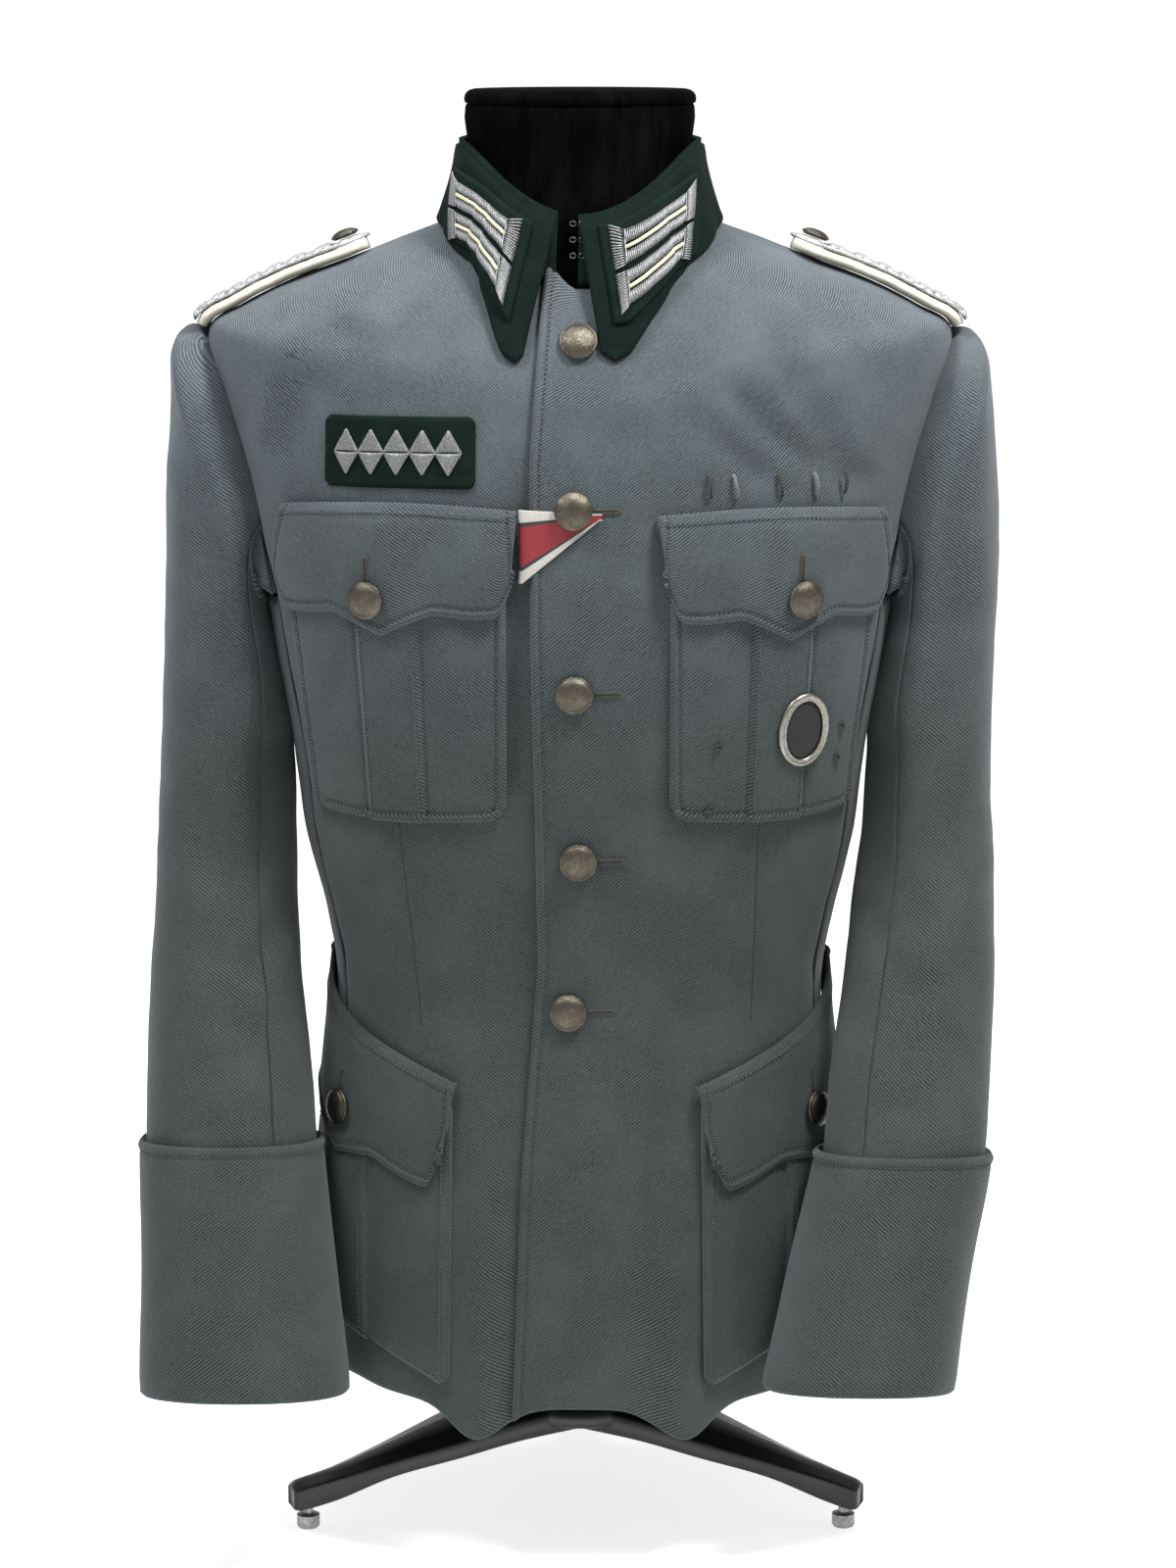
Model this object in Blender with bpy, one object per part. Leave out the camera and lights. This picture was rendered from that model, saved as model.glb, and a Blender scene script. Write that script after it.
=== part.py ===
"""Field tunic on a limbless dress form with a cast base. Metres, +Z up, front towards -Y."""

import math

import bpy
import numpy as np
from mathutils import Vector

for old in list(bpy.data.objects):
    bpy.data.objects.remove(old, do_unlink=True)

WALL = 0.002
SEAM = 0.0003
LAP = WALL + 0.0007
FORM_GAP = 0.0084
BUTTON = 0.011
SHOULDER_BUTTON = 0.0085
CUFF_TOP = 0.2515
CUFF_LOW = {-1: 0.1115, 1: 0.1220}
SLEEVE_END = 0.019
SIDE = {"right": -1, "left": 1}

WOOL, FELT, CORD = (0.17, 0.19, 0.17), (0.03, 0.06, 0.045), (0.55, 0.55, 0.52)
VELVET, SATIN, METAL = (0.012, 0.012, 0.012), (0.02, 0.02, 0.02), (0.5, 0.49, 0.45)

# Rings from hem to neck: height at centre front, side and centre back, half width,
# front depth, back depth, squareness.
BODY = (
    (0.100, 0.100, 0.100, 0.1620, 0.130, 0.128, 2.20),
    (0.150, 0.150, 0.150, 0.1610, 0.127, 0.126, 2.20),
    (0.200, 0.200, 0.200, 0.1590, 0.124, 0.121, 2.25),
    (0.250, 0.250, 0.250, 0.1540, 0.119, 0.114, 2.30),
    (0.292, 0.292, 0.292, 0.1500, 0.114, 0.105, 2.35),
    (0.335, 0.335, 0.335, 0.1470, 0.109, 0.097, 2.40),
    (0.380, 0.380, 0.380, 0.1540, 0.112, 0.100, 2.40),
    (0.430, 0.430, 0.430, 0.1660, 0.117, 0.107, 2.45),
    (0.480, 0.480, 0.480, 0.1720, 0.122, 0.112, 2.50),
    (0.530, 0.530, 0.530, 0.1810, 0.126, 0.116, 2.55),
    (0.575, 0.575, 0.575, 0.1880, 0.127, 0.118, 2.60),
    (0.605, 0.612, 0.610, 0.1950, 0.127, 0.119, 2.60),
    (0.635, 0.652, 0.645, 0.2030, 0.125, 0.118, 2.55),
    (0.663, 0.690, 0.676, 0.2120, 0.122, 0.115, 2.50),
    (0.690, 0.728, 0.705, 0.2205, 0.118, 0.110, 2.40),
    (0.706, 0.743, 0.724, 0.2000, 0.113, 0.104, 2.35),
    (0.720, 0.7575, 0.742, 0.1710, 0.107, 0.097, 2.30),
    (0.733, 0.771, 0.760, 0.1350, 0.100, 0.090, 2.25),
    (0.745, 0.783, 0.778, 0.1040, 0.093, 0.080, 2.20),
    (0.757, 0.7935, 0.797, 0.0745, 0.085, 0.070, 2.15),
)
ARMPIT, TIP, NECK = 10, 14, 19
SHOULDER_SEAM = 92.0

# Side seams and armhole: ring, front angle, back angle.
SEAMS = (
    (0, 72, 110), (5, 74, 108), (8, 70, 111), (10, 66, 114), (11, 71, 109),
    (12, 76, 105), (13, 81, 101), (13.6, 86, 97), (14, 92, 92),
)

# Edge of the overlapping left front: height, distance from the middle.
FRONT_EDGE = (
    (0.08, -0.040), (0.235, -0.0345), (0.365, -0.0246), (0.45, -0.026), (0.557, -0.0285),
    (0.66, -0.0290), (0.72, -0.0247), (0.80, -0.0180),
)

# Soft folds of the skirt: angle, width in degrees, bulge, drop of the hem.
LOBES = (
    (-26, 9, 0.0060, 0.0200), (26, 9, 0.0060, 0.0200), (-62, 9, 0.0020, -0.0060),
    (62, 9, 0.0020, -0.0060), (118, 12, 0.0045, 0.0030), (-122, 12, 0.0050, 0.0040),
    (158, 10, 0.0050, 0.0050), (-160, 10, 0.0045, 0.0040),
)

# Soft troughs beside the armholes: top across and height, foot across and height,
# depth, half width.
TROUGHS = (
    (-0.140, 0.722, -0.160, 0.645, 0.0022, 0.016),
    (0.134, 0.712, 0.166, 0.644, 0.0020, 0.015),
)

# Sleeves by ring from the armhole: outer side across and height, inner side across and
# height, middle front to back, half depth, forward tilt.
SLEEVES = {
    -1: (
        (0.2205, 0.728, 0.1885, 0.575, 0.000, 0.0680, 0.00),
        (0.2400, 0.7310, 0.1900, 0.566, -0.002, 0.0640, 0.00),
        (0.2435, 0.690, 0.1858, 0.548, -0.004, 0.0610, 0.00),
        (0.2458, 0.632, 0.1808, 0.520, -0.006, 0.0570, 0.00),
        (0.2485, 0.570, 0.1750, 0.490, -0.010, 0.0540, 0.02),
        (0.2500, 0.505, 0.1715, 0.462, -0.015, 0.0520, 0.04),
        (0.2530, 0.440, 0.1703, 0.425, -0.023, 0.0500, 0.07),
        (0.2550, 0.385, 0.1700, 0.385, -0.035, 0.0490, 0.10),
        (0.2575, 0.340, 0.1660, 0.340, -0.048, 0.0490, 0.12),
        (0.2590, 0.290, 0.1605, 0.290, -0.063, 0.0490, 0.12),
        (0.2580, 0.245, 0.1575, 0.245, -0.077, 0.0490, 0.11),
        (0.2555, 0.190, 0.1520, 0.190, -0.097, 0.0480, 0.14),
        (0.2542, 0.125, 0.1446, 0.125, -0.118, 0.0480, 0.16),
        (0.2530, 0.080, 0.1410, 0.080, -0.130, 0.0480, 0.16),
    ),
    1: (
        (0.2205, 0.728, 0.1885, 0.575, 0.000, 0.0680, 0.00),
        (0.2395, 0.7280, 0.1900, 0.566, -0.002, 0.0640, 0.00),
        (0.2450, 0.685, 0.1858, 0.548, -0.004, 0.0610, 0.00),
        (0.2498, 0.627, 0.1808, 0.520, -0.008, 0.0570, 0.00),
        (0.2490, 0.570, 0.1750, 0.490, -0.013, 0.0540, 0.02),
        (0.2463, 0.505, 0.1715, 0.462, -0.019, 0.0520, 0.04),
        (0.2465, 0.440, 0.1690, 0.425, -0.029, 0.0500, 0.07),
        (0.2475, 0.385, 0.1625, 0.385, -0.046, 0.0480, 0.10),
        (0.2462, 0.340, 0.1565, 0.340, -0.064, 0.0470, 0.11),
        (0.2430, 0.290, 0.1475, 0.290, -0.088, 0.0460, 0.12),
        (0.2375, 0.245, 0.1425, 0.245, -0.108, 0.0460, 0.13),
        (0.2245, 0.190, 0.1285, 0.190, -0.129, 0.0460, 0.17),
        (0.2130, 0.125, 0.1140, 0.125, -0.151, 0.0470, 0.20),
        (0.2070, 0.080, 0.1050, 0.080, -0.165, 0.0470, 0.20),
    ),
}
SLEEVE_SQUARE = 2.3

# Cuff wall around the sleeve: distance out from the sleeve, share of the way to the top
# edge, rise from there.
CUFF = (
    (0.0046, 1.00, 0.0), (0.0052, 0.68, 0.0), (0.0062, 0.34, 0.0), (0.0070, 0.05, 0.0),
    (0.0058, 0.00, 0.0015), (0.0010, 0.00, 0.0), (-0.0012, 0.00, 0.0020),
    (-WALL, 0.0, SLEEVE_END - SEAM), (0.0, 0.0, SLEEVE_END - SEAM), (0.0014, 0.0, 0.0050),
    (0.0042, 0.00, 0.0070), (0.0042, 0.34, 0.0), (0.0032, 0.68, 0.0), (0.0026, 1.00, 0.0),
)

# Breast pockets: girth to the inner edge, girth to the outer edge at foot and at top,
# heights of foot and top.
BREAST = {-1: (0.0425, 0.1720, 0.1860, 0.4520, 0.6180), 1: (0.0515, 0.1780, 0.1890, 0.4520, 0.6150)}
# Breast flaps: girth to the inner edge at top and foot, to the outer edge at top and
# foot, height of the top edge.
BREAST_FLAP = {-1: (0.0360, 0.0395, 0.1820, 0.1890, 0.6330), 1: (0.0440, 0.0500, 0.1870, 0.1920, 0.6300)}
# Lower edge of a flap: share of its width, drop below the top edge.
SCALLOP = (
    (0.0, 0.048), (0.05, 0.056), (0.16, 0.058), (0.30, 0.057), (0.41, 0.064), (0.5, 0.071),
    (0.59, 0.064), (0.70, 0.057), (0.84, 0.058), (0.95, 0.056), (1.0, 0.048),
)
# Hip pockets: girth to the front edge, width, height of the foot and of the flap's top
# at the front edge.
HIP = {-1: (0.0760, 0.150, 0.1080, 0.2920), 1: (0.0715, 0.150, 0.1080, 0.2900)}
HIP_RISE = 0.40
HIP_DEEP = 0.0075
# Share of a pocket's width, height of its pleat.
PLEAT = (
    (0.0, 0), (0.18, 0), (0.345, 0), (0.385, 1), (0.5, 1), (0.615, 1), (0.655, 0),
    (0.82, 0), (1.0, 0),
)
PLEAT_DEEP = 0.0015

# Front buttons: distance from the middle, height.
FRONT_BUTTONS = (
    (-0.0010, 0.7260), (-0.0039, 0.6328), (-0.0034, 0.5275), (-0.0011, 0.4281), (-0.0069, 0.3363),
)

# Outer edge of the collar on either side: angle, height on the body.
COLLAR_EDGE = {
    -1: (
        (16.5, 0.7190), (18.8, 0.7150), (22.5, 0.7195), (30, 0.7440), (37, 0.7600), (44, 0.7690),
        (60, 0.7795), (70, 0.7862), (90, 0.7914), (120, 0.7902), (150, 0.7870), (180, 0.7865),
    ),
    1: (
        (5.5, 0.7200), (10.5, 0.7150), (15.5, 0.7205), (24, 0.7400), (34, 0.7580), (44, 0.7685),
        (60, 0.7795), (70, 0.7862), (90, 0.7914), (120, 0.7902), (150, 0.7870), (180, 0.7865),
    ),
}
COLLAR_FOLD = (0.0702, 0.0760, 0.0660, 2.05)
FOLD_HEIGHT = (0.7960, 0.8376, 0.8450)
COLLAR_ENDS = (-0.8, -9.7)

# Neck of the form: height, half width, front depth, back depth.
NECK_RINGS = (
    (0.7780, 0.0665, 0.0720, 0.0590), (0.7960, 0.0655, 0.0700, 0.0600),
    (0.8300, 0.0650, 0.0650, 0.0600), (0.8520, 0.0680, 0.0650, 0.0600),
    (0.8600, 0.0675, 0.0640, 0.0590),
)
NECK_TOP = 0.8690

# Legs of the base: direction in degrees, reach.
LEGS = ((198, 0.1860), (342, 0.1805), (90, 0.1830))


def spline(table, t):
    """Row at position t of a table, by Catmull-Rom."""
    n = len(table) - 1
    t = min(max(t, 0.0), float(n))
    i = min(int(t), n - 1)
    u = t - i
    b, c = table[i], table[i + 1]
    a = table[i - 1] if i else [2 * x - y for x, y in zip(b, c)]
    d = table[i + 2] if i < n - 1 else [2 * y - x for x, y in zip(b, c)]
    return [
        0.5 * (2 * q + (r - p) * u + (2 * p - 5 * q + 4 * r - s) * u * u + (3 * q - p - 3 * r + s) * u**3)
        for p, q, r, s in zip(a, b, c, d)
    ]


def lerp(table, x, column=1):
    """Value of a column at x, straight between the rows."""
    return float(np.interp(x, [row[0] for row in table], [row[column] for row in table]))


def smooth(x):
    x = min(max(x, 0.0), 1.0)
    return x * x * (3 - 2 * x)


def polar(theta, half, front, back, square):
    """Point of a ring at an angle from the centre front towards the left."""
    a = math.radians(theta)
    s, c = math.sin(a), math.cos(a)
    deep = front if c > 0 else back
    r = ((abs(s) / half) ** square + (abs(c) / deep) ** square) ** (-1 / square)
    return r * s, -r * c, r


def body(theta, t, plain=False):
    """Outer surface of the body."""
    front_z, side_z, back_z, half, front, back, square = spline(BODY, t)
    theta = (theta + 180) % 360 - 180
    x, y, r = polar(theta, half, front, back, square)
    c = math.cos(math.radians(theta))
    z = side_z + ((front_z if c > 0 else back_z) - side_z) * c * c
    if plain:
        return Vector((x, y, z))
    out = 0.0
    low = smooth((4.2 - t) / 4.2)
    for at, wide, bulge, drop in LOBES:
        away = (theta - at + 180) % 360 - 180
        share = math.exp(-((away / wide) ** 2)) * low
        out += bulge * share
        z -= drop * share * low
    if t > 10.5 and y < 0:
        for x0, z0, x1, z1, deep, wide in TROUGHS:
            along = ((x - x0) * (x1 - x0) + (z - z0) * (z1 - z0)) / ((x1 - x0) ** 2 + (z1 - z0) ** 2)
            near = min(max(along, 0.0), 1.0)
            miss = math.hypot(x - x0 - near * (x1 - x0), z - z0 - near * (z1 - z0))
            out -= deep * math.exp(-((miss / wide) ** 2))
    return Vector((x + out * x / r, y + out * y / r, z))


def body_normal(theta, t):
    step = 0.02 if t < NECK - 0.02 else -0.02
    p = body(theta, t)
    along = body(theta + 0.4, t) - body(theta - 0.4, t)
    up = (body(theta, t + step) - p) * (1 if step > 0 else -1)
    return along.cross(up).normalized()


def lap(theta, t):
    """Height of the left front over the right front."""
    x = body(theta, t, plain=True).x
    return LAP * smooth((0.0465 - x) / 0.0125)


def face(theta, t, out=0.0):
    """Point on the outermost front cloth, moved out."""
    if -45 < theta < 60:
        x = body(theta, t, plain=True).x
        edge = lerp(FRONT_EDGE, body(theta, t).z)
        if x > edge - 0.004:
            out += lap(theta, t)
    return body(theta, t) + body_normal(theta, t) * out


def angle_at(x, t):
    """Angle at which the front lies at x."""
    theta = math.degrees(math.atan2(x, spline(BODY, t)[4]))
    for _ in range(4):
        theta += math.degrees((x - body(theta, t, plain=True).x) / spline(BODY, t)[4])
    return theta


GIRTH = {}


def girth(side, t):
    """Angles and lengths round a ring from the centre front."""
    key = (side, round(t, 4))
    if key not in GIRTH:
        angles = np.linspace(0, 140, 57)
        points = [body(side * a, t, plain=True) for a in angles]
        steps = [0.0] + [(q - p).length for p, q in zip(points, points[1:])]
        GIRTH[key] = angles, np.cumsum(steps)
    return GIRTH[key]


def place(side, s, z):
    """Angle and ring at a length s round the body from the centre front and a height."""
    theta = side * s / 0.15 * 57.3
    for _ in range(3):
        low, high = 0.0, float(NECK)
        for _ in range(18):
            middle = (low + high) / 2
            if body(theta, middle).z < z:
                low = middle
            else:
                high = middle
        t = round(low, 3)
        angles, lengths = girth(side, t)
        theta = side * float(np.interp(s, lengths, angles))
    return theta, t


def on_body(side, s, z, out):
    return face(*place(side, s, z), out)


def add(name, points, faces, colour, rough=0.8, metal=0.0):
    mesh = bpy.data.meshes.new(name)
    mesh.from_pydata([tuple(p) for p in points], [], faces)
    mesh.validate()
    obj = bpy.data.objects.new(name, mesh)
    bpy.context.scene.collection.objects.link(obj)
    material = bpy.data.materials.new(name)
    material.use_nodes = True
    shader = material.node_tree.nodes["Principled BSDF"]
    shader.inputs["Base Color"].default_value = (*colour, 1)
    shader.inputs["Roughness"].default_value = rough
    shader.inputs["Metallic"].default_value = metal
    mesh.materials.append(material)
    total = 0.0
    mesh.calc_loop_triangles()
    for tri in mesh.loop_triangles:
        a, b, c = (mesh.vertices[i].co for i in tri.vertices)
        total += a.dot(b.cross(c))
    if total < 0:
        mesh.flip_normals()
    return obj


def skin(name, outer, inner, colour, closed=False, **look):
    """Solid between two grids of points, with its edges closed."""
    rows, cols = len(outer), len(outer[0])
    points = [p for row in outer for p in row] + [p for row in inner for p in row]
    base = rows * cols
    faces = []
    span = cols if closed else cols - 1
    for i in range(rows - 1):
        for j in range(span):
            k = (j + 1) % cols
            a, b, c, d = i * cols + j, i * cols + k, (i + 1) * cols + k, (i + 1) * cols + j
            if (points[a] - points[c]).length <= (points[b] - points[d]).length:
                pair = (a, b, c), (a, c, d)
            else:
                pair = (a, b, d), (b, c, d)
            for tri in pair:
                faces.append(tri)
                faces.append(tuple(base + q for q in tri[::-1]))
    for j in range(span):
        k = (j + 1) % cols
        faces.append((j, base + j, base + k, k))
        top = (rows - 1) * cols
        faces.append((top + j, top + k, base + top + k, base + top + j))
    if not closed:
        for i in range(rows - 1):
            a, b = i * cols, (i + 1) * cols
            faces.append((a, b, base + b, base + a))
            a, b = a + cols - 1, b + cols - 1
            faces.append((a, base + a, base + b, b))
    return add(name, points, faces, colour, **look)


def ring_solid(name, profiles, colour, **look):
    """Solid swept by a closed profile carried round a closed loop."""
    count, deep = len(profiles), len(profiles[0])
    points = [p for profile in profiles for p in profile]
    faces = []
    for i in range(count):
        k = (i + 1) % count
        for j in range(deep):
            m = (j + 1) % deep
            faces.append((i * deep + j, k * deep + j, k * deep + m, i * deep + m))
    return add(name, points, faces, colour, **look)


def loft(name, rings, colour, **look):
    """Solid through rings of points, closed by flat ends."""
    count = len(rings[0])
    points = [p for ring in rings for p in ring]
    faces = [tuple(range(count))[::-1]]
    for i in range(len(rings) - 1):
        for j in range(count):
            k = (j + 1) % count
            faces.append((i * count + j, i * count + k, (i + 1) * count + k, (i + 1) * count + j))
    faces.append(tuple((len(rings) - 1) * count + j for j in range(count)))
    return add(name, points, faces, colour, **look)


def seam_angle(t, side_of):
    return lerp(SEAMS, t, side_of)


LOW_ROWS = [0, 0.8, 1.6, 2.4, 3.2, 4, 4.6, 5.2, 6, 6.8, 7.6, 8.4, 9.2, ARMPIT]
ARM_ROWS = list(np.linspace(ARMPIT, TIP, 8))
TOP_ROWS = list(np.linspace(TIP, NECK, 6))
ALL_ROWS = LOW_ROWS + ARM_ROWS[1:] + TOP_ROWS[1:]
GAP = 0.055


def front_columns(side, t):
    """Angles of the front panel's columns at a ring, from the middle outwards."""
    if t <= TIP:
        end = seam_angle(t, 1) - (GAP if t <= ARMPIT else 0)
    else:
        end = SHOULDER_SEAM
    if t >= TIP:
        end = SHOULDER_SEAM - 2 * GAP
    if side > 0:
        edge = lerp(FRONT_EDGE, body(angle_at(-0.03, t), t).z)
        near = [angle_at(x, t) for x in (edge, -0.012, 0.006, 0.024, 0.034, 0.048)]
    else:
        near = [angle_at(x, t) for x in (-0.024, -0.006, 0.012, 0.030)]
    if near[-1] > end - 12:
        near = list(np.linspace(near[0], min(near[-1], end * 0.6), len(near)))
    count = 8
    return near + [near[-1] + (end - near[-1]) * k / count for k in range(1, count + 1)]


def build_front(side, name):
    outer, inner = [], []
    for t in ALL_ROWS:
        row_out, row_in = [], []
        for theta in front_columns(side, t):
            lift = lap(theta, t) if side > 0 else 0.0
            p, n = body(side * theta, t), body_normal(side * theta, t)
            if side > 0:
                p, n = body(theta, t), body_normal(theta, t)
            row_out.append(p + n * lift)
            row_in.append(p + n * (lift - WALL))
        outer.append(row_out)
        inner.append(row_in)
    skin(name, outer, inner, WOOL)


def build_side(side, name):
    outer, inner = [], []
    for t in LOW_ROWS:
        a, b = seam_angle(t, 1) + GAP, seam_angle(t, 2) - GAP
        if t == ARMPIT:
            a, b = seam_angle(t, 1), seam_angle(t, 2)
        angles = np.linspace(a, b, 5)
        outer.append([body(side * q, t) for q in angles])
        inner.append([body(side * q, t) - body_normal(side * q, t) * WALL for q in angles])
    skin(name, outer, inner, WOOL)


def build_back(side, name):
    outer, inner = [], []
    for t in ALL_ROWS:
        a = seam_angle(t, 2) + (GAP if t <= ARMPIT else 0)
        if t >= TIP:
            a = SHOULDER_SEAM + 2 * GAP
        b = 180 - 0.09 - 0.05 * (t > 16)
        angles = np.linspace(a, b, 9)
        outer.append([body(side * q, t) for q in angles])
        inner.append([body(side * q, t) - body_normal(side * q, t) * WALL for q in angles])
    skin(name, outer, inner, WOOL)


FRONT_SHARE, UNDER_SHARE = 7 / 18, 11 / 18


def armhole(u):
    """Angle and ring of the armhole seam: tip, front, underarm, back."""
    u %= 1.0
    if u < FRONT_SHARE:
        t = TIP + (ARMPIT - TIP) * u / FRONT_SHARE
        return seam_angle(t, 1), t
    if u < UNDER_SHARE:
        a, b = seam_angle(ARMPIT, 1), seam_angle(ARMPIT, 2)
        return a + (b - a) * (u - FRONT_SHARE) / (UNDER_SHARE - FRONT_SHARE), float(ARMPIT)
    t = ARMPIT + (TIP - ARMPIT) * (u - UNDER_SHARE) / (1 - UNDER_SHARE)
    return seam_angle(t, 2), t


def sleeve(side, u, s):
    """Outer surface of a sleeve: share round it from the top forward, ring down it."""
    theta, t = armhole(u)
    start = body(theta, t, plain=True)
    top, low = body(*armhole(0), plain=True), body(90, ARMPIT, plain=True)
    turn = math.atan2(-(start.y - 0.0) / 0.068, (start.z - (top.z + low.z) / 2) / ((top.z - low.z) / 2))
    xo, zo, xi, zi, yc, deep, tilt = spline(SLEEVES[side], s)
    power = 2 / SLEEVE_SQUARE
    c, d = math.cos(turn), math.sin(turn)
    c, d = math.copysign(abs(c) ** power, c), math.copysign(abs(d) ** power, d)
    across, up = (xo + xi) / 2 + (xo - xi) / 2 * c, (zo + zi) / 2 + (zo - zi) / 2 * c
    y = yc - deep * d
    ring = Vector((across, y, up - tilt * (y - yc)))
    weight = smooth(s / 1.6)
    start = start + Vector((SEAM, 0, 0))
    p = start.lerp(ring, weight)
    return Vector((side * p.x, p.y, p.z))


def sleeve_normal(side, u, s):
    if s <= 0:
        p = sleeve(side, u, 0)
        return Vector((0, p.y, p.z - 0.651)).normalized()
    p = sleeve(side, u, s)
    round_ = sleeve(side, u + 0.004, s) - sleeve(side, u - 0.004, s)
    down = sleeve(side, u, s + 0.02) - sleeve(side, u, max(s - 0.02, 0))
    n = round_.cross(down).normalized()
    middle = (sleeve(side, 0.25, s) + sleeve(side, 0.75, s) + sleeve(side, 0, s) + sleeve(side, 0.5, s)) / 4
    return n if n.dot(p - middle) > 0 else -n


SLEEVE_ROWS = (0, 0.45, 0.9, 1.4, 2, 2.8, 3.6, 4.5, 5.4, 6.3, 7.2, 8.2, 9.3, 10.5)
SLEEVE_COLUMNS = 18
UNDER_FROM, UNDER_TO = 5, 13


def build_sleeve(side, name, first, last):
    trim = 0.0005
    outer, inner = [], []
    for s in (*SLEEVE_ROWS, ring_at(side, CUFF_LOW[side] + SLEEVE_END)):
        row_out, row_in = [], []
        for j in range(first, last + 1):
            u = j / SLEEVE_COLUMNS + (trim if j == first else -trim if j == last else 0)
            p, n = sleeve(side, u, s), sleeve_normal(side, u, s)
            row_out.append(p)
            row_in.append(p - n * WALL)
        outer.append(row_out)
        inner.append(row_in)
    skin(name, outer, inner, WOOL)


def ring_at(side, z):
    """Sleeve ring whose middle lies at a height below the elbow."""
    return float(np.interp(-z, [-row[1] for row in SLEEVES[side][7:]], range(7, 14)))


def build_cuff(side, name):
    profiles = []
    for j in range(SLEEVE_COLUMNS):
        u = j / SLEEVE_COLUMNS
        profile = []
        for out, share, rise in CUFF:
            low = CUFF_LOW[side]
            s = ring_at(side, low + (CUFF_TOP - low) * share + rise)
            profile.append(sleeve(side, u, s) + sleeve_normal(side, u, s) * out)
        profiles.append(profile)
    ring_solid(name, profiles, WOOL)


def pleat_height(share):
    return PLEAT_DEEP * lerp(PLEAT, share)


def breast_grid(side, heights, columns, out):
    """Points of the breast pocket's bag, moved out."""
    inner, low, high, foot, top = BREAST[side]
    grid = []
    for v in heights:
        z = foot + (top - foot) * v
        outer = low + (high - low) * v
        round_off = 0.010 * smooth((0.10 - v) / 0.10)
        row = []
        for share in columns:
            s = inner + (outer - inner) * share
            s += round_off * (0.5 - share) * (1 if abs(share - 0.5) > 0.45 else 0)
            row.append(on_body(side, s, z, out(share, v)))
        grid.append(row)
    return grid


POCKET_ROWS = (0, 0.05, 0.2, 0.36, 0.52, 0.68, 0.84, 1)
POCKET_SEAT = 0.0012


def build_breast(side, which):
    columns = [row[0] for row in PLEAT]
    grid_out = breast_grid(side, POCKET_ROWS, columns, lambda c, v: POCKET_SEAT + WALL + pleat_height(c))
    grid_in = breast_grid(side, POCKET_ROWS, columns, lambda c, v: POCKET_SEAT + pleat_height(c))
    skin(f"breast_pocket_{which}", grid_out, grid_in, WOOL)
    in_top, in_foot, out_top, out_foot, top = BREAST_FLAP[side]
    grids = []
    for lift in (WALL, 0.0):
        grid = []
        for v in (0, 0.16, 0.34, 0.6, 0.85, 1):
            row = []
            for share, drop in SCALLOP:
                a = in_top + (in_foot - in_top) * v
                b = out_top + (out_foot - out_top) * v
                s = a + (b - a) * share
                bump = PLEAT_DEEP * smooth((0.22 - abs(share - 0.5)) / 0.12)
                over = smooth(v / 0.16) * (0.0036 + bump)
                row.append(on_body(side, s, top + 0.004 * math.sin(math.pi * share) - drop * v,
                                   POCKET_SEAT + over + lift))
            grid.append(row)
        grids.append(grid)
    skin(f"breast_flap_{which}", grids[0], grids[1], WOOL)


def hip_spot(side, share, v, out):
    """Point on a hip pocket: share of its width from the front edge, share of its height."""
    start, width, foot, top = HIP[side]
    s = start + width * share
    low = foot + HIP_RISE * width * share
    high = top - 0.014 + HIP_RISE * width * share
    return on_body(side, s, low + (high - low) * v, out)


def build_hip(side, which):
    start, width, foot, top = HIP[side]
    shares = (0, 0.012, 0.03, 0.18, 0.36, 0.39, 0.5, 0.61, 0.64, 0.82, 0.97, 0.988, 1)
    heights = (0, 0.014, 0.05, 0.2, 0.35, 0.5, 0.65, 0.8, 1)
    bump = {0.39: 1, 0.5: 1, 0.61: 1}
    deep = HIP_DEEP
    grids = []
    for outer in (True, False):
        grid = []
        for v in heights:
            row = []
            for share in shares:
                rim = min(share, 1 - share) / 0.03
                rim = min(rim, v / 0.05)
                rise = smooth(0.35 + 0.65 * min(rim, 1.0)) if rim < 1 else 1.0
                rise *= 1 - 0.62 * smooth((v - 0.45) / 0.5)
                rise *= 1 - 0.35 * smooth((share - 0.6) / 0.4)
                out = deep * rise + 0.0016 * bump.get(share, 0) * (rim >= 1)
                if rim <= 0:
                    out = POCKET_SEAT + (WALL * 0.9 if outer else 0)
                    shift = 0.0 if outer else 0.0
                else:
                    out = max(out, POCKET_SEAT + WALL + 0.0004) - (0 if outer else WALL)
                    shift = 0.0
                row.append(hip_spot(side, share + shift, v, out))
            grid.append(row)
        grids.append(grid)
    skin(f"hip_pocket_{which}", grids[0], grids[1], WOOL)
    grids = []
    for lift in (WALL, 0.0):
        grid = []
        for v in (0, 0.15, 0.4, 0.7, 1):
            row = []
            for share, drop in SCALLOP:
                s = start - 0.004 + (width + 0.008) * share + 0.010 * v * (1 - share)
                z = top + HIP_RISE * width * share - drop * v * 1.06
                bump = 0.0016 * smooth((0.24 - abs(share - 0.5)) / 0.12)
                over = 0.0005 + smooth(v / 0.15) * (0.0036 + bump + 0.0016 * v)
                row.append(on_body(side, s, z, POCKET_SEAT + over + lift))
            grid.append(row)
        grids.append(grid)
    skin(f"hip_flap_{which}", grids[0], grids[1], WOOL)


def frame_on(point, normal, up=Vector((0, 0, 1))):
    across = up.cross(normal).normalized()
    return point, across, normal.cross(across).normalized(), normal


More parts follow.
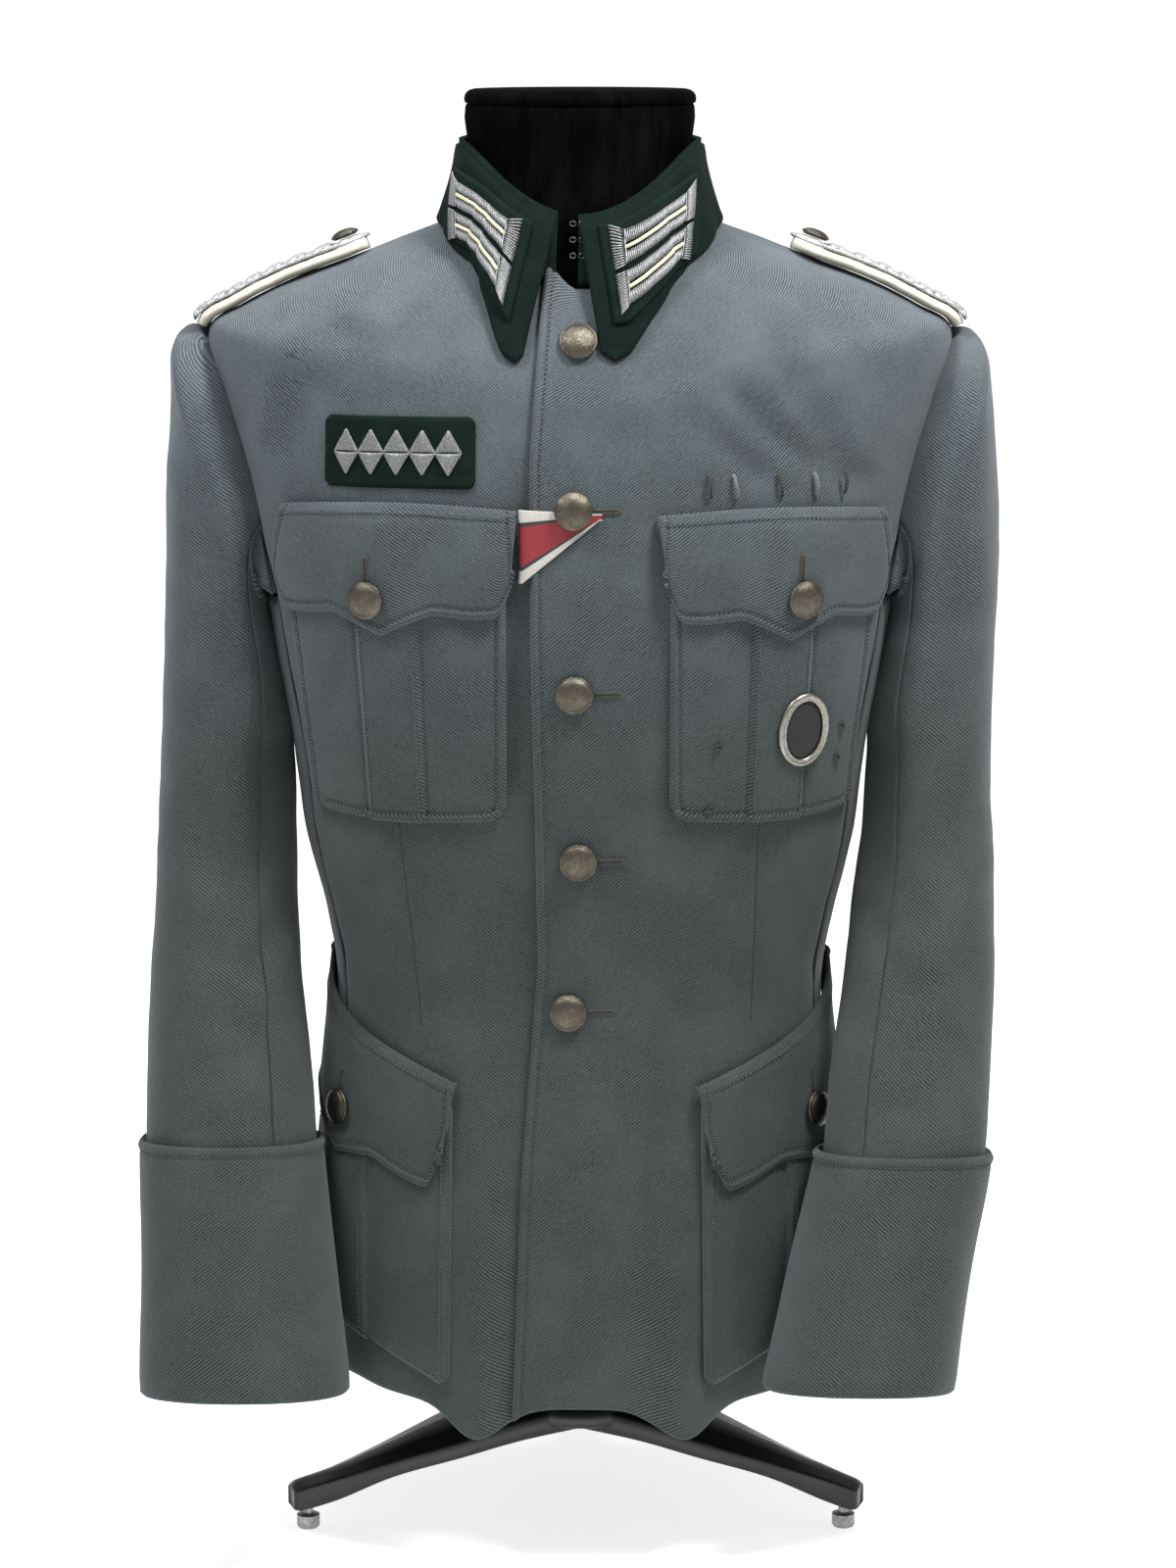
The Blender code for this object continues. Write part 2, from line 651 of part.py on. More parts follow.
def button(name, point, normal, radius):
    """Domed button with a rim."""
    origin, across, up, out = frame_on(point, normal)
    k = radius / BUTTON
    profile = ((0.0088, 0.0), (0.0110, 0.0012), (0.0106, 0.0028), (0.0068, 0.0052), (0.0028, 0.0062))
    rings = []
    for r, h in profile:
        ring = []
        for i in range(12):
            a = math.radians(30 * i + 15)
            ring.append(origin + (across * math.cos(a) + up * math.sin(a)) * r * k + out * h * k)
        rings.append(ring)
    loft(name, rings, METAL, rough=0.4, metal=1.0)


def fold_line(theta, out=0.0):
    """Top of the collar stand, where the collar turns over."""
    half, front, back, square = COLLAR_FOLD
    x, y, r = polar(theta, half, front, back, square)
    c = math.cos(math.radians(theta))
    low, middle, high = FOLD_HEIGHT
    z = middle + ((low - middle) * c**3 if c > 0 else (high - middle) * c * c)
    return Vector((x * (1 + out / r), y * (1 + out / r), z))


def collar_angles(count):
    start, end = COLLAR_ENDS
    turn = 360 + end - start
    shares = [0.5 - 0.5 * math.copysign(abs(1 - 2 * k / count) ** 0.85, 1 - 2 * k / count)
              for k in range(count + 1)]
    return [start + turn * q for q in shares]


def edge_line(theta, out):
    """Outer edge of the collar, lying on the body."""
    theta = (theta + 180) % 360 - 180
    z = lerp(COLLAR_EDGE[1 if theta > -5 else -1], abs(theta))
    low, high = 12.0, float(NECK)
    for _ in range(20):
        middle = (low + high) / 2
        if body(theta, middle).z < z:
            low = middle
        else:
            high = middle
    return face(theta, low, out)


COLLAR_SEAT = 0.0016


def collar(theta, v, out=0.0):
    """Outer surface of the fallen collar: angle at the fold, share from fold to edge."""
    signed = (theta + 180) % 360 - 180
    front = smooth((26 - abs(signed + 5)) / 22)
    side = 1 if signed > -5 else -1
    target = signed + side * 7 * front
    a = fold_line(signed, 0.0025 * smooth(v / 0.05) + SEAM)
    b = edge_line(target, COLLAR_SEAT + WALL)
    p = a.lerp(b, v)
    p.z += 0.0016 * math.sin(math.pi * min(v * 4, 1))
    flat = Vector((p.x, p.y, 0)).normalized()
    turn = math.radians(signed)
    bulge = 0.0025 * max(math.cos(turn), 0) - 0.0012 * abs(math.sin(turn))
    p += flat * (bulge * math.sin(math.pi * v))
    return p + flat * out


def collar_normal(theta, v):
    e = 0.02
    along = collar(theta + 0.5, v) - collar(theta - 0.5, v)
    down = collar(theta, min(v + e, 1)) - collar(theta, max(v - e, 0))
    n = down.cross(along).normalized()
    p = collar(theta, v)
    return n if n.dot(Vector((p.x, p.y, 0.02))) > 0 else -n


def build_collar():
    angles = collar_angles(26)
    outer, inner = [], []
    for v in (0, 0.5, 1):
        row_out, row_in = [], []
        for theta in angles:
            a = face(theta, NECK) + Vector((0, 0, 0.0009))
            b = fold_line(theta)
            p = a.lerp(b, v)
            flat = Vector((p.x, p.y, 0)).normalized()
            row_out.append(p)
            row_in.append(p - flat * WALL)
        outer.append(row_out)
        inner.append(row_in)
    skin("collar_stand", outer, inner, FELT)
    outer, inner = [], []
    for shift, low, high in ((-WALL, 0.0004, 0.0022), (0.0008, 0.0004, 0.0024)):
        row_out, row_in = [], []
        for theta in angles:
            q = fold_line(theta)
            flat = Vector((q.x, q.y, 0)).normalized()
            row_in.append(q + flat * shift + Vector((0, 0, low)))
            row_out.append(q + flat * (shift + 0.0006) + Vector((0, 0, high)))
        outer.append(row_out)
        inner.append(row_in)
    for v in (0.06, 0.3, 0.55, 0.8, 1):
        outer.append([collar(theta, v) for theta in angles])
        inner.append([collar(theta, v) - collar_normal(theta, v) * WALL for theta in angles])
    skin("collar_fall", outer, inner, FELT)


# Collar patches on either side: share between fold and edge at the front end and at the
# back end, angle from the front end to the back end, turn of the back end's foot.
PATCH = {
    -1: ((0.11, 0.78), (0.25, 0.96), (13, 65), 10),
    1: ((0.07, 0.76), (0.21, 0.96), (11.5, 63), 12),
}
LACE = {
    -1: ((0.18, 0.70), (0.34, 0.90), (17, 60), 10),
    1: ((0.14, 0.68), (0.30, 0.88), (15.5, 58), 12),
}


def patch_grid(side, spec, out, columns=5, rows=4):
    (a0, a1), (b0, b1), (first, last), turn = spec
    grid = []
    for i in range(rows):
        row = []
        for j in range(columns):
            share = j / (columns - 1)
            top, low = a0 + (b0 - a0) * share, a1 + (b1 - a1) * share
            theta = side * (first + (last - first - turn * i / (rows - 1)) * share) - 5
            v = top + (low - top) * i / (rows - 1)
            row.append(collar(theta, v) + collar_normal(theta, v) * out)
        grid.append(row)
    return grid


def build_patch(side, which):
    felt, cord = PATCH[side], LACE[side]
    skin(f"collar_patch_{which}", patch_grid(side, felt, 0.0022, 7), patch_grid(side, felt, 0.0010, 7), FELT)
    skin(f"collar_lace_{which}", patch_grid(side, cord, 0.0045, 7), patch_grid(side, cord, 0.0030, 7), CORD)


# Section of the shoulder board's underlay and of its braid: across, height.
UNDERLAY = (
    (-0.0205, 0.0010), (-0.0225, 0.0045), (-0.0205, 0.0068), (0, 0.0076), (0.0205, 0.0068),
    (0.0225, 0.0045), (0.0205, 0.0010), (0, -0.0003),
)
BRAID = (
    (-0.0180, 0.0076), (-0.0186, 0.0092), (-0.0090, 0.0108), (0, 0.0104), (0.0090, 0.0108),
    (0.0186, 0.0092), (0.0180, 0.0076), (0, 0.0081),
)
# Share of the board's length from the sleeve, width.
BOARD_WIDTH = ((0.0, 0.80), (0.05, 0.95), (0.12, 1.0), (0.88, 1.0), (0.95, 0.86), (1.0, 0.55))


def board_spot(side, share):
    """Point and normal of the shoulder line under the board."""
    t = 14.08 + 3.25 * share
    p = body(side * SHOULDER_SEAM, t, plain=True)
    q = body(side * SHOULDER_SEAM, t + 0.1, plain=True) - body(side * SHOULDER_SEAM, t - 0.06, plain=True)
    q.y = 0
    n = Vector((-q.z, 0, q.x)) * (1 if q.x > 0 else -1)
    p.y = -0.003
    return p, n.normalized()


def build_board(side, which):
    for name, section, stations, colour, shrink in (
        ("board_underlay", UNDERLAY, (0, 0.06, 0.2, 0.4, 0.6, 0.8, 0.93, 1), WOOL, 0.0),
        ("board_braid", BRAID, tuple(0.03 + 0.94 * k / 14 for k in range(15)), CORD, 0.02),
    ):
        rings = []
        for k, share in enumerate(stations):
            p, n = board_spot(side, share)
            wide = lerp(BOARD_WIDTH, share)
            if shrink:
                wide *= 1.0 if k % 2 else 0.94
            rings.append([p + Vector((0, b * wide, 0)) + n * (0.0004 + h) for b, h in section])
        loft(f"{name}_{which}", rings, colour)
    p, n = board_spot(side, 0.90)
    button(f"shoulder_button_{which}", p + n * 0.0117, n, SHOULDER_BUTTON)


def build_ribbon():
    chain_out = ((0.0110, 0.0016), (-0.006, 0.0016), (-0.020, 0.0016), (-0.0305, 0.0017), (-0.0345, 0.0008),
                 (-0.0350, -0.0006), (-0.0332, -0.0019))
    chain_in = ((0.0110, 0.0006), (-0.006, 0.0006), (-0.020, 0.0006), (-0.0300, 0.0006), (-0.0333, 0.0001),
                (-0.0338, -0.0006), (-0.0326, -0.0011))
    grids = []
    for chain in (chain_out, chain_in):
        grid = []
        for x, out in chain:
            share = min(max((0.0110 - x) / 0.044, 0), 1)
            high, low = 0.6312 + 0.0020 * share, 0.6278 - 0.0358 * share
            row = []
            for k in range(4):
                z = high + (low - high) * k / 3
                theta, t = place(-1 if x < 0 else 1, abs(x), z)
                row.append(body(theta, t) + body_normal(theta, t) * (LAP + out))
            grid.append(row)
        grids.append(grid)
    skin("ribbon", grids[0], grids[1], (0.35, 0.03, 0.03))


def build_badge():
    left, right, low, high = 0.060, 0.152, 0.6450, 0.6860
    grids = []
    for out in (0.0020, 0.0009):
        grids.append([[on_body(-1, left + (right - left) * i / 7, low + (high - low) * j / 3, out)
                       for i in range(8)] for j in range(4)])
    skin("badge_backing", grids[0], grids[1], FELT)
    grids = []
    for out in (0.0034, 0.0024):
        grid = []
        for j in (-1, -0.4, 0.4, 1):
            row = []
            for i in range(11):
                tall = (0.0035, 0.0125)[i % 2] * (1 if i % 10 else 0.6)
                row.append(on_body(-1, left + 0.008 + (right - left - 0.016) * i / 10, (low + high) / 2 + tall * j, out))
            grid.append(row)
        grids.append(grid)
    skin("badge_embroidery", grids[0], grids[1], CORD)


def build_pin():
    theta, t = place(1, 0.1310, 0.5036)
    normal = body_normal(theta, t)
    origin, across, up, out = frame_on(face(theta, t), normal)

    def oval(a, b, h, count=20):
        turn = (2 * math.pi * i / count for i in range(count))
        return [origin + across * a * math.cos(q) + up * b * math.sin(q) + out * h for q in turn]

    base = POCKET_SEAT + WALL + PLEAT_DEEP + 0.0005
    rings = [oval(0.0170, 0.0220, base), oval(0.0174, 0.0224, base + 0.0012), oval(0.0160, 0.0210, base + 0.0026),
             oval(0.0128, 0.0178, base + 0.0022), oval(0.0124, 0.0174, base)]
    ring_solid("pin_rim", [list(p) for p in zip(*rings)], METAL, rough=0.4, metal=1.0)
    loft("pin_face", [oval(0.0119, 0.0169, base), oval(0.0119, 0.0169, base + 0.0012),
                      oval(0.0070, 0.0110, base + 0.0020)], FELT, rough=0.4)


FORM_ANGLES = (0, 18, 36, 54, 74, 92, 110, 128, 146, 164, 180, 196, 214, 232, 250, 268, 286, 306, 324, 342)


def build_form():
    rings = []
    for t in (2, 3.5, 5, 6.5, 8, 9.5, 11, 12.5, 14, 15, 16, 17, 18):
        ring = []
        for theta in FORM_ANGLES:
            p = body(theta, t, plain=True)
            flat = Vector((p.x, p.y, 0)).normalized()
            if t >= 15 and theta in (92, 268):
                ring.append(p - body_normal(theta, t) * (WALL + 0.0006))
            elif t >= 14:
                ring.append(p - body_normal(theta, t) * FORM_GAP)
            else:
                ring.append(p - flat * FORM_GAP)
        rings.append(ring)
    for z, half, front, back in NECK_RINGS:
        rings.append([Vector((*polar(theta, half, front, back, 2.05)[:2], z)) for theta in FORM_ANGLES])
    loft("form_torso", rings, VELVET)
    rings = []
    for z, shrink in ((0.8603, 0.0), (0.8655, 0.0), (0.8682, 0.0022), (NECK_TOP, 0.0060)):
        rings.append([Vector((*polar(theta, 0.0682 - shrink, 0.0648 - shrink, 0.0600 - shrink, 2.05)[:2], z))
                      for theta in range(0, 360, 15)])
    loft("form_neck_cap", rings, VELVET)


def disc(radius, z, count=24):
    return [Vector((radius * math.cos(2 * math.pi * i / count), radius * math.sin(2 * math.pi * i / count), z))
            for i in range(count)]


def build_stand():
    loft("stand_pole", [disc(0.0125, 0.0783, 16), disc(0.0125, 0.1997, 16)], METAL, rough=0.4, metal=1.0)
    hub = loft("stand_base", [disc(0.0400, 0.0590), disc(0.0480, 0.0605), disc(0.0460, 0.0700), disc(0.0300, 0.0780)],
               SATIN, rough=0.3)
    for number, (direction, reach) in enumerate(LEGS, 1):
        a = math.radians(direction)
        along, across = Vector((math.cos(a), math.sin(a), 0)), Vector((-math.sin(a), math.cos(a), 0))
        # Distance out, half width, height of the foot, shoulder and ridge.
        stations = (
            (0.010, 0.0360, 0.0570, 0.0720, 0.0750), (0.050, 0.0350, 0.0520, 0.0650, 0.0680),
            (0.085, 0.0285, 0.0430, 0.0540, 0.0570), (0.125, 0.0180, 0.0320, 0.0420, 0.0450),
            (0.158, 0.0115, 0.0190, 0.0325, 0.0350), (reach - 0.004, 0.0095, 0.0135, 0.0270, 0.0295),
            (reach, 0.0080, 0.0140, 0.0250, 0.0265),
        )
        rings = []
        for r, half, low, shoulder, ridge in stations:
            rings.append([along * r + across * b * half + Vector((0, 0, z))
                          for b, z in ((-1, low), (1, low), (1, shoulder), (0.35, ridge), (-0.35, ridge),
                                       (-1, shoulder))])
        leg = loft(f"leg_{number}", rings, SATIN)
        leg.hide_render = True
        join = hub.modifiers.new(f"leg_{number}", "BOOLEAN")
        join.operation, join.solver, join.object = "UNION", "EXACT", leg
        foot = along * (reach - 0.011)
        under = lerp(stations, reach - 0.0075, 2) - 0.0004
        rings = [[foot + p for p in disc(r, z, 16)]
                 for r, z in ((0.0062, 0.0), (0.0070, 0.0012), (0.0070, 0.0080), (0.0030, 0.0090), (0.0030, under))]
        loft(f"stand_foot_{number}", rings, METAL, rough=0.5)


for which, side in SIDE.items():
    build_front(side, f"front_{which}")
    build_side(side, f"side_{which}")
    build_back(side, f"back_{which}")
    build_sleeve(side, f"under_sleeve_{which}", UNDER_FROM, UNDER_TO)
    build_sleeve(side, f"upper_sleeve_{which}", UNDER_TO, SLEEVE_COLUMNS + UNDER_FROM)
    build_cuff(side, f"cuff_{which}")
    build_breast(side, which)
    build_hip(side, which)
    build_patch(side, which)
    build_board(side, which)
    theta, t = place(side, 0.1216 if side < 0 else 0.1280, 0.5815)
    seat = POCKET_SEAT + 0.0036 + PLEAT_DEEP + WALL + 0.0006
    button(f"breast_button_{which}", face(theta, t, seat), body_normal(theta, t), BUTTON)
    theta, t = place(side, HIP[side][0] + HIP[side][1] / 2, 0.2680)
    seat = POCKET_SEAT + 0.0041 + 0.0016 + 0.0014 + WALL + 0.0005
    button(f"hip_button_{which}", face(theta, t, seat), body_normal(theta, t), BUTTON)

build_collar()
build_ribbon()
build_badge()
build_pin()
build_form()
build_stand()

for number, (x, z) in enumerate(FRONT_BUTTONS, 1):
    theta, t = place(-1, -x, z)
    seat = {2: 0.0024, 5: 0.0009}.get(number, 0.0006)
    button(f"front_button_{number}", face(theta, t, seat), body_normal(theta, t), BUTTON)

# The origin goes to the middle of the underside.
solids = [obj for obj in bpy.data.objects if not obj.hide_render]
spots = np.array([tuple(v.co) for obj in solids for v in obj.data.vertices])
low, high = spots.min(axis=0), spots.max(axis=0)
shift = Vector((-(low[0] + high[0]) / 2, -(low[1] + high[1]) / 2, -low[2]))
for obj in bpy.data.objects:
    for vertex in obj.data.vertices:
        vertex.co += shift
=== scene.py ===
"""Looks of the field tunic on its dress form. Metres, +Z up, front towards -Y."""

import math

import bmesh
import bpy
import numpy as np
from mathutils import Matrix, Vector, noise


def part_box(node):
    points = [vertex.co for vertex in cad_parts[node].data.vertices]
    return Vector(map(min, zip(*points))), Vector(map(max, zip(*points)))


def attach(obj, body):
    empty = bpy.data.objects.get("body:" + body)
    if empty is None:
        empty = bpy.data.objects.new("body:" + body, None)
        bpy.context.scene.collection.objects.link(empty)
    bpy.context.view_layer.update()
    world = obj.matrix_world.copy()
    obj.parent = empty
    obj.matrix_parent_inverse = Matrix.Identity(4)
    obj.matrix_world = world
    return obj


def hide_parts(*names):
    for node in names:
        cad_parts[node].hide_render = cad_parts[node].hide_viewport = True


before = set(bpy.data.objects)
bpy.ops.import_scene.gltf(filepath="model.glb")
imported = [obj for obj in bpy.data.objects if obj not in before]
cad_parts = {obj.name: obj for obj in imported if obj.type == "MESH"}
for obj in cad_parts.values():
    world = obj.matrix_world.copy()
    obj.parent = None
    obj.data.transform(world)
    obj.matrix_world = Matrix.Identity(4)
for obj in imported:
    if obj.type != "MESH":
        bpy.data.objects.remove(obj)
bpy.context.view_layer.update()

# The forms are worked out about the pole's axis, which stands here in the row frame.
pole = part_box("stand_pole")
MOVE = np.array([(pole[0][0] + pole[1][0]) / 2, (pole[0][1] + pole[1][1]) / 2, 0.0])

WALL = 0.002
SEAM = 0.0003
LAP = WALL + 0.0007
FORM_GAP = 0.0084
CUFF_TOP = 0.2515
CUFF_LOW = {-1: 0.1115, 1: 0.1220}
SLEEVE_END = 0.019
POCKET_SEAT = 0.0012
PLEAT_DEEP = 0.0015
HIP_RISE = 0.40
HIP_DEEP = 0.0075
COLLAR_SEAT = 0.0016
SIDE = {"right": -1, "left": 1}
FLAT = np.array([1, 1, 0])

# Rings from hem to neck: height at centre front, side and centre back, half width,
# front depth, back depth, squareness.
BODY = (
    (0.100, 0.100, 0.100, 0.1620, 0.130, 0.128, 2.20),
    (0.150, 0.150, 0.150, 0.1610, 0.127, 0.126, 2.20),
    (0.200, 0.200, 0.200, 0.1590, 0.124, 0.121, 2.25),
    (0.250, 0.250, 0.250, 0.1540, 0.119, 0.114, 2.30),
    (0.292, 0.292, 0.292, 0.1500, 0.114, 0.105, 2.35),
    (0.335, 0.335, 0.335, 0.1470, 0.109, 0.097, 2.40),
    (0.380, 0.380, 0.380, 0.1540, 0.112, 0.100, 2.40),
    (0.430, 0.430, 0.430, 0.1660, 0.117, 0.107, 2.45),
    (0.480, 0.480, 0.480, 0.1720, 0.122, 0.112, 2.50),
    (0.530, 0.530, 0.530, 0.1810, 0.126, 0.116, 2.55),
    (0.575, 0.575, 0.575, 0.1880, 0.127, 0.118, 2.60),
    (0.605, 0.612, 0.610, 0.1950, 0.127, 0.119, 2.60),
    (0.635, 0.652, 0.645, 0.2030, 0.125, 0.118, 2.55),
    (0.663, 0.690, 0.676, 0.2120, 0.122, 0.115, 2.50),
    (0.690, 0.728, 0.705, 0.2205, 0.118, 0.110, 2.40),
    (0.706, 0.743, 0.724, 0.2000, 0.113, 0.104, 2.35),
    (0.720, 0.7575, 0.742, 0.1710, 0.107, 0.097, 2.30),
    (0.733, 0.771, 0.760, 0.1350, 0.100, 0.090, 2.25),
    (0.745, 0.783, 0.778, 0.1040, 0.093, 0.080, 2.20),
    (0.757, 0.7935, 0.797, 0.0745, 0.085, 0.070, 2.15),
)
ARMPIT, TIP, NECK = 10, 14, 19
SHOULDER_SEAM = 92.0

# Side seams and armhole: ring, front angle, back angle.
SEAMS = (
    (0, 72, 110), (5, 74, 108), (8, 72, 110), (10, 72.5, 109), (11, 75, 107),
    (12, 78, 104), (13, 82, 100.5), (13.6, 86, 97), (14, 92, 92),
)

# Edge of the overlapping left front: height, distance from the middle.
FRONT_EDGE = (
    (0.08, -0.040), (0.235, -0.0345), (0.365, -0.0246), (0.45, -0.026), (0.557, -0.0285),
    (0.66, -0.0290), (0.72, -0.0247), (0.80, -0.0180),
)

# Soft folds of the skirt: angle, width in degrees, bulge, drop of the hem.
LOBES = (
    (-26, 9, 0.0060, 0.0200), (26, 9, 0.0060, 0.0200), (-62, 9, 0.0020, -0.0060),
    (62, 9, 0.0020, -0.0060), (118, 12, 0.0045, 0.0030), (-122, 12, 0.0050, 0.0040),
    (158, 10, 0.0050, 0.0050), (-160, 10, 0.0045, 0.0040),
)

# Soft troughs beside the armholes: top across and height, foot across and height,
# depth, half width.
TROUGHS = (
    (-0.140, 0.722, -0.160, 0.645, 0.0022, 0.016),
    (0.134, 0.712, 0.166, 0.644, 0.0020, 0.015),
)

# Sleeves by ring from the armhole: outer side across and height, inner side across and
# height, middle front to back, half depth, forward tilt.
SLEEVES = {
    -1: (
        (0.2205, 0.728, 0.1885, 0.575, 0.000, 0.0680, 0.00),
        (0.2400, 0.7310, 0.1900, 0.566, -0.002, 0.0640, 0.00),
        (0.2435, 0.690, 0.1858, 0.548, -0.004, 0.0610, 0.00),
        (0.2458, 0.632, 0.1808, 0.520, -0.006, 0.0570, 0.00),
        (0.2485, 0.570, 0.1750, 0.490, -0.010, 0.0540, 0.02),
        (0.2500, 0.505, 0.1715, 0.462, -0.015, 0.0520, 0.04),
        (0.2530, 0.440, 0.1703, 0.425, -0.023, 0.0500, 0.07),
        (0.2550, 0.385, 0.1700, 0.385, -0.035, 0.0490, 0.10),
        (0.2575, 0.340, 0.1660, 0.340, -0.048, 0.0490, 0.12),
        (0.2590, 0.290, 0.1605, 0.290, -0.063, 0.0490, 0.12),
        (0.2580, 0.245, 0.1575, 0.245, -0.077, 0.0490, 0.11),
        (0.2555, 0.190, 0.1520, 0.190, -0.097, 0.0480, 0.14),
        (0.2542, 0.125, 0.1446, 0.125, -0.118, 0.0480, 0.16),
        (0.2530, 0.080, 0.1410, 0.080, -0.130, 0.0480, 0.16),
    ),
    1: (
        (0.2205, 0.728, 0.1885, 0.575, 0.000, 0.0680, 0.00),
        (0.2395, 0.7280, 0.1900, 0.566, -0.002, 0.0640, 0.00),
        (0.2450, 0.685, 0.1858, 0.548, -0.004, 0.0610, 0.00),
        (0.2498, 0.627, 0.1808, 0.520, -0.008, 0.0570, 0.00),
        (0.2490, 0.570, 0.1750, 0.490, -0.013, 0.0540, 0.02),
        (0.2463, 0.505, 0.1715, 0.462, -0.019, 0.0520, 0.04),
        (0.2465, 0.440, 0.1690, 0.425, -0.029, 0.0500, 0.07),
        (0.2475, 0.385, 0.1625, 0.385, -0.046, 0.0480, 0.10),
        (0.2462, 0.340, 0.1565, 0.340, -0.064, 0.0470, 0.11),
        (0.2430, 0.290, 0.1475, 0.290, -0.088, 0.0460, 0.12),
        (0.2375, 0.245, 0.1425, 0.245, -0.108, 0.0460, 0.13),
        (0.2245, 0.190, 0.1285, 0.190, -0.129, 0.0460, 0.17),
        (0.2130, 0.125, 0.1140, 0.125, -0.151, 0.0470, 0.20),
        (0.2070, 0.080, 0.1050, 0.080, -0.165, 0.0470, 0.20),
    ),
}
SLEEVE_SQUARE = 2.3

# Breast pockets: girth to the inner edge, girth to the outer edge at foot and at top,
# heights of foot and top.
BREAST = {
    -1: (0.0425, 0.1720, 0.1860, 0.4520, 0.6180),
    1: (0.0515, 0.1780, 0.1890, 0.4520, 0.6150),
}
# Breast flaps: girth to the inner edge at top and foot, to the outer edge at top and
# foot, height of the top edge.
BREAST_FLAP = {
    -1: (0.0360, 0.0395, 0.1820, 0.1890, 0.6330),
    1: (0.0440, 0.0500, 0.1870, 0.1920, 0.6300),
}
# Lower edge of a flap: share of its width, drop below the top edge.
SCALLOP = (
    (0.0, 0.048), (0.05, 0.056), (0.16, 0.058), (0.30, 0.057), (0.41, 0.064), (0.5, 0.071),
    (0.59, 0.064), (0.70, 0.057), (0.84, 0.058), (0.95, 0.056), (1.0, 0.048),
)
# Hip pockets: girth to the front edge, width, height of the foot and of the flap's top
# at the front edge.
HIP = {-1: (0.0760, 0.150, 0.1080, 0.2920), 1: (0.0715, 0.150, 0.1080, 0.2900)}

# Girth to the breast buttons.
BREAST_BUTTON = {-1: 0.1216, 1: 0.1280}
# Front buttons: distance from the middle, height.
FRONT_BUTTONS = (
    (-0.0010, 0.7260), (-0.0039, 0.6328), (-0.0034, 0.5275), (-0.0011, 0.4281), (-0.0069, 0.3363),
)

# Outer edge of the collar on either side: angle, height on the body.
COLLAR_EDGE = {
    -1: (
        (16.5, 0.7190), (18.8, 0.7150), (22.5, 0.7195), (30, 0.7440), (37, 0.7600), (44, 0.7690),
        (60, 0.7795), (70, 0.7862), (90, 0.7914), (120, 0.7902), (150, 0.7870), (180, 0.7865),
    ),
    1: (
        (5.5, 0.7200), (10.5, 0.7150), (15.5, 0.7205), (24, 0.7400), (34, 0.7580), (44, 0.7685),
        (60, 0.7795), (70, 0.7862), (90, 0.7914), (120, 0.7902), (150, 0.7870), (180, 0.7865),
    ),
}
COLLAR_FOLD = (0.0702, 0.0760, 0.0660, 2.05)
FOLD_HEIGHT = (0.7960, 0.8376, 0.8450)
COLLAR_ENDS = (-0.8, -9.7)

# Neck of the form: height, half width, front depth, back depth.
NECK_RINGS = (
    (0.7780, 0.0665, 0.0720, 0.0590), (0.7960, 0.0655, 0.0700, 0.0600),
    (0.8300, 0.0650, 0.0650, 0.0600), (0.8520, 0.0680, 0.0650, 0.0600),
    (0.8600, 0.0675, 0.0640, 0.0590),
)

# Legs of the base: direction in degrees, reach.
LEGS = ((198, 0.1860), (342, 0.1805), (90, 0.1830))

# Collar patches on either side: share between fold and edge at the front end and at the
# back end, angle from the front end to the back end, turn of the back end's foot.
PATCH = {
    -1: ((0.11, 0.78), (0.25, 0.96), (13, 65), 10),
    1: ((0.07, 0.76), (0.21, 0.96), (11.5, 63), 12),
}
# Metal lace on the collar patches, in the same terms.
LACE = {
    -1: ((0.18, 0.70), (0.34, 0.90), (17, 60), 10),
    1: ((0.14, 0.68), (0.30, 0.88), (15.5, 58), 12),
}

# Share of a shoulder board's length from the sleeve, width.
BOARD_WIDTH = ((0.0, 0.80), (0.05, 0.95), (0.12, 1.0), (0.88, 1.0), (0.95, 0.86), (1.0, 0.55))
def rows_at(table, t):
    """Rows at positions t of a table, by Catmull-Rom."""
    rows = np.asarray(table, float)
    n = len(rows) - 1
    t = np.clip(np.asarray(t, float), 0, n)
    i = np.minimum(t.astype(int), n - 1)
    u = (t - i)[..., None]
    b, c = rows[i], rows[i + 1]
    a = np.where((i > 0)[..., None], rows[np.maximum(i - 1, 0)], 2 * b - c)
    d = np.where((i < n - 1)[..., None], rows[np.minimum(i + 2, n)], 2 * c - b)
    return 0.5 * (2 * b + (c - a) * u + (2 * a - 5 * b + 4 * c - d) * u * u + (3 * b - a - 3 * c + d) * u**3)


def lerp(table, x, column=1):
    """Value of a column at x, straight between the rows."""
    return np.interp(x, [row[0] for row in table], [row[column] for row in table])


def smooth(x):
    x = np.clip(x, 0.0, 1.0)
    return x * x * (3 - 2 * x)


def unit(v):
    return v / np.maximum(np.linalg.norm(v, axis=-1, keepdims=True), 1e-12)


def polar(theta, half, front, back, square):
    """Points of rings at angles from the centre front towards the left."""
    a = np.radians(theta)
    s, c = np.sin(a), np.cos(a)
    deep = np.where(c > 0, front, back)
    r = ((np.abs(s) / half) ** square + (np.abs(c) / deep) ** square) ** (-1 / square)
    return r * s, -r * c, r


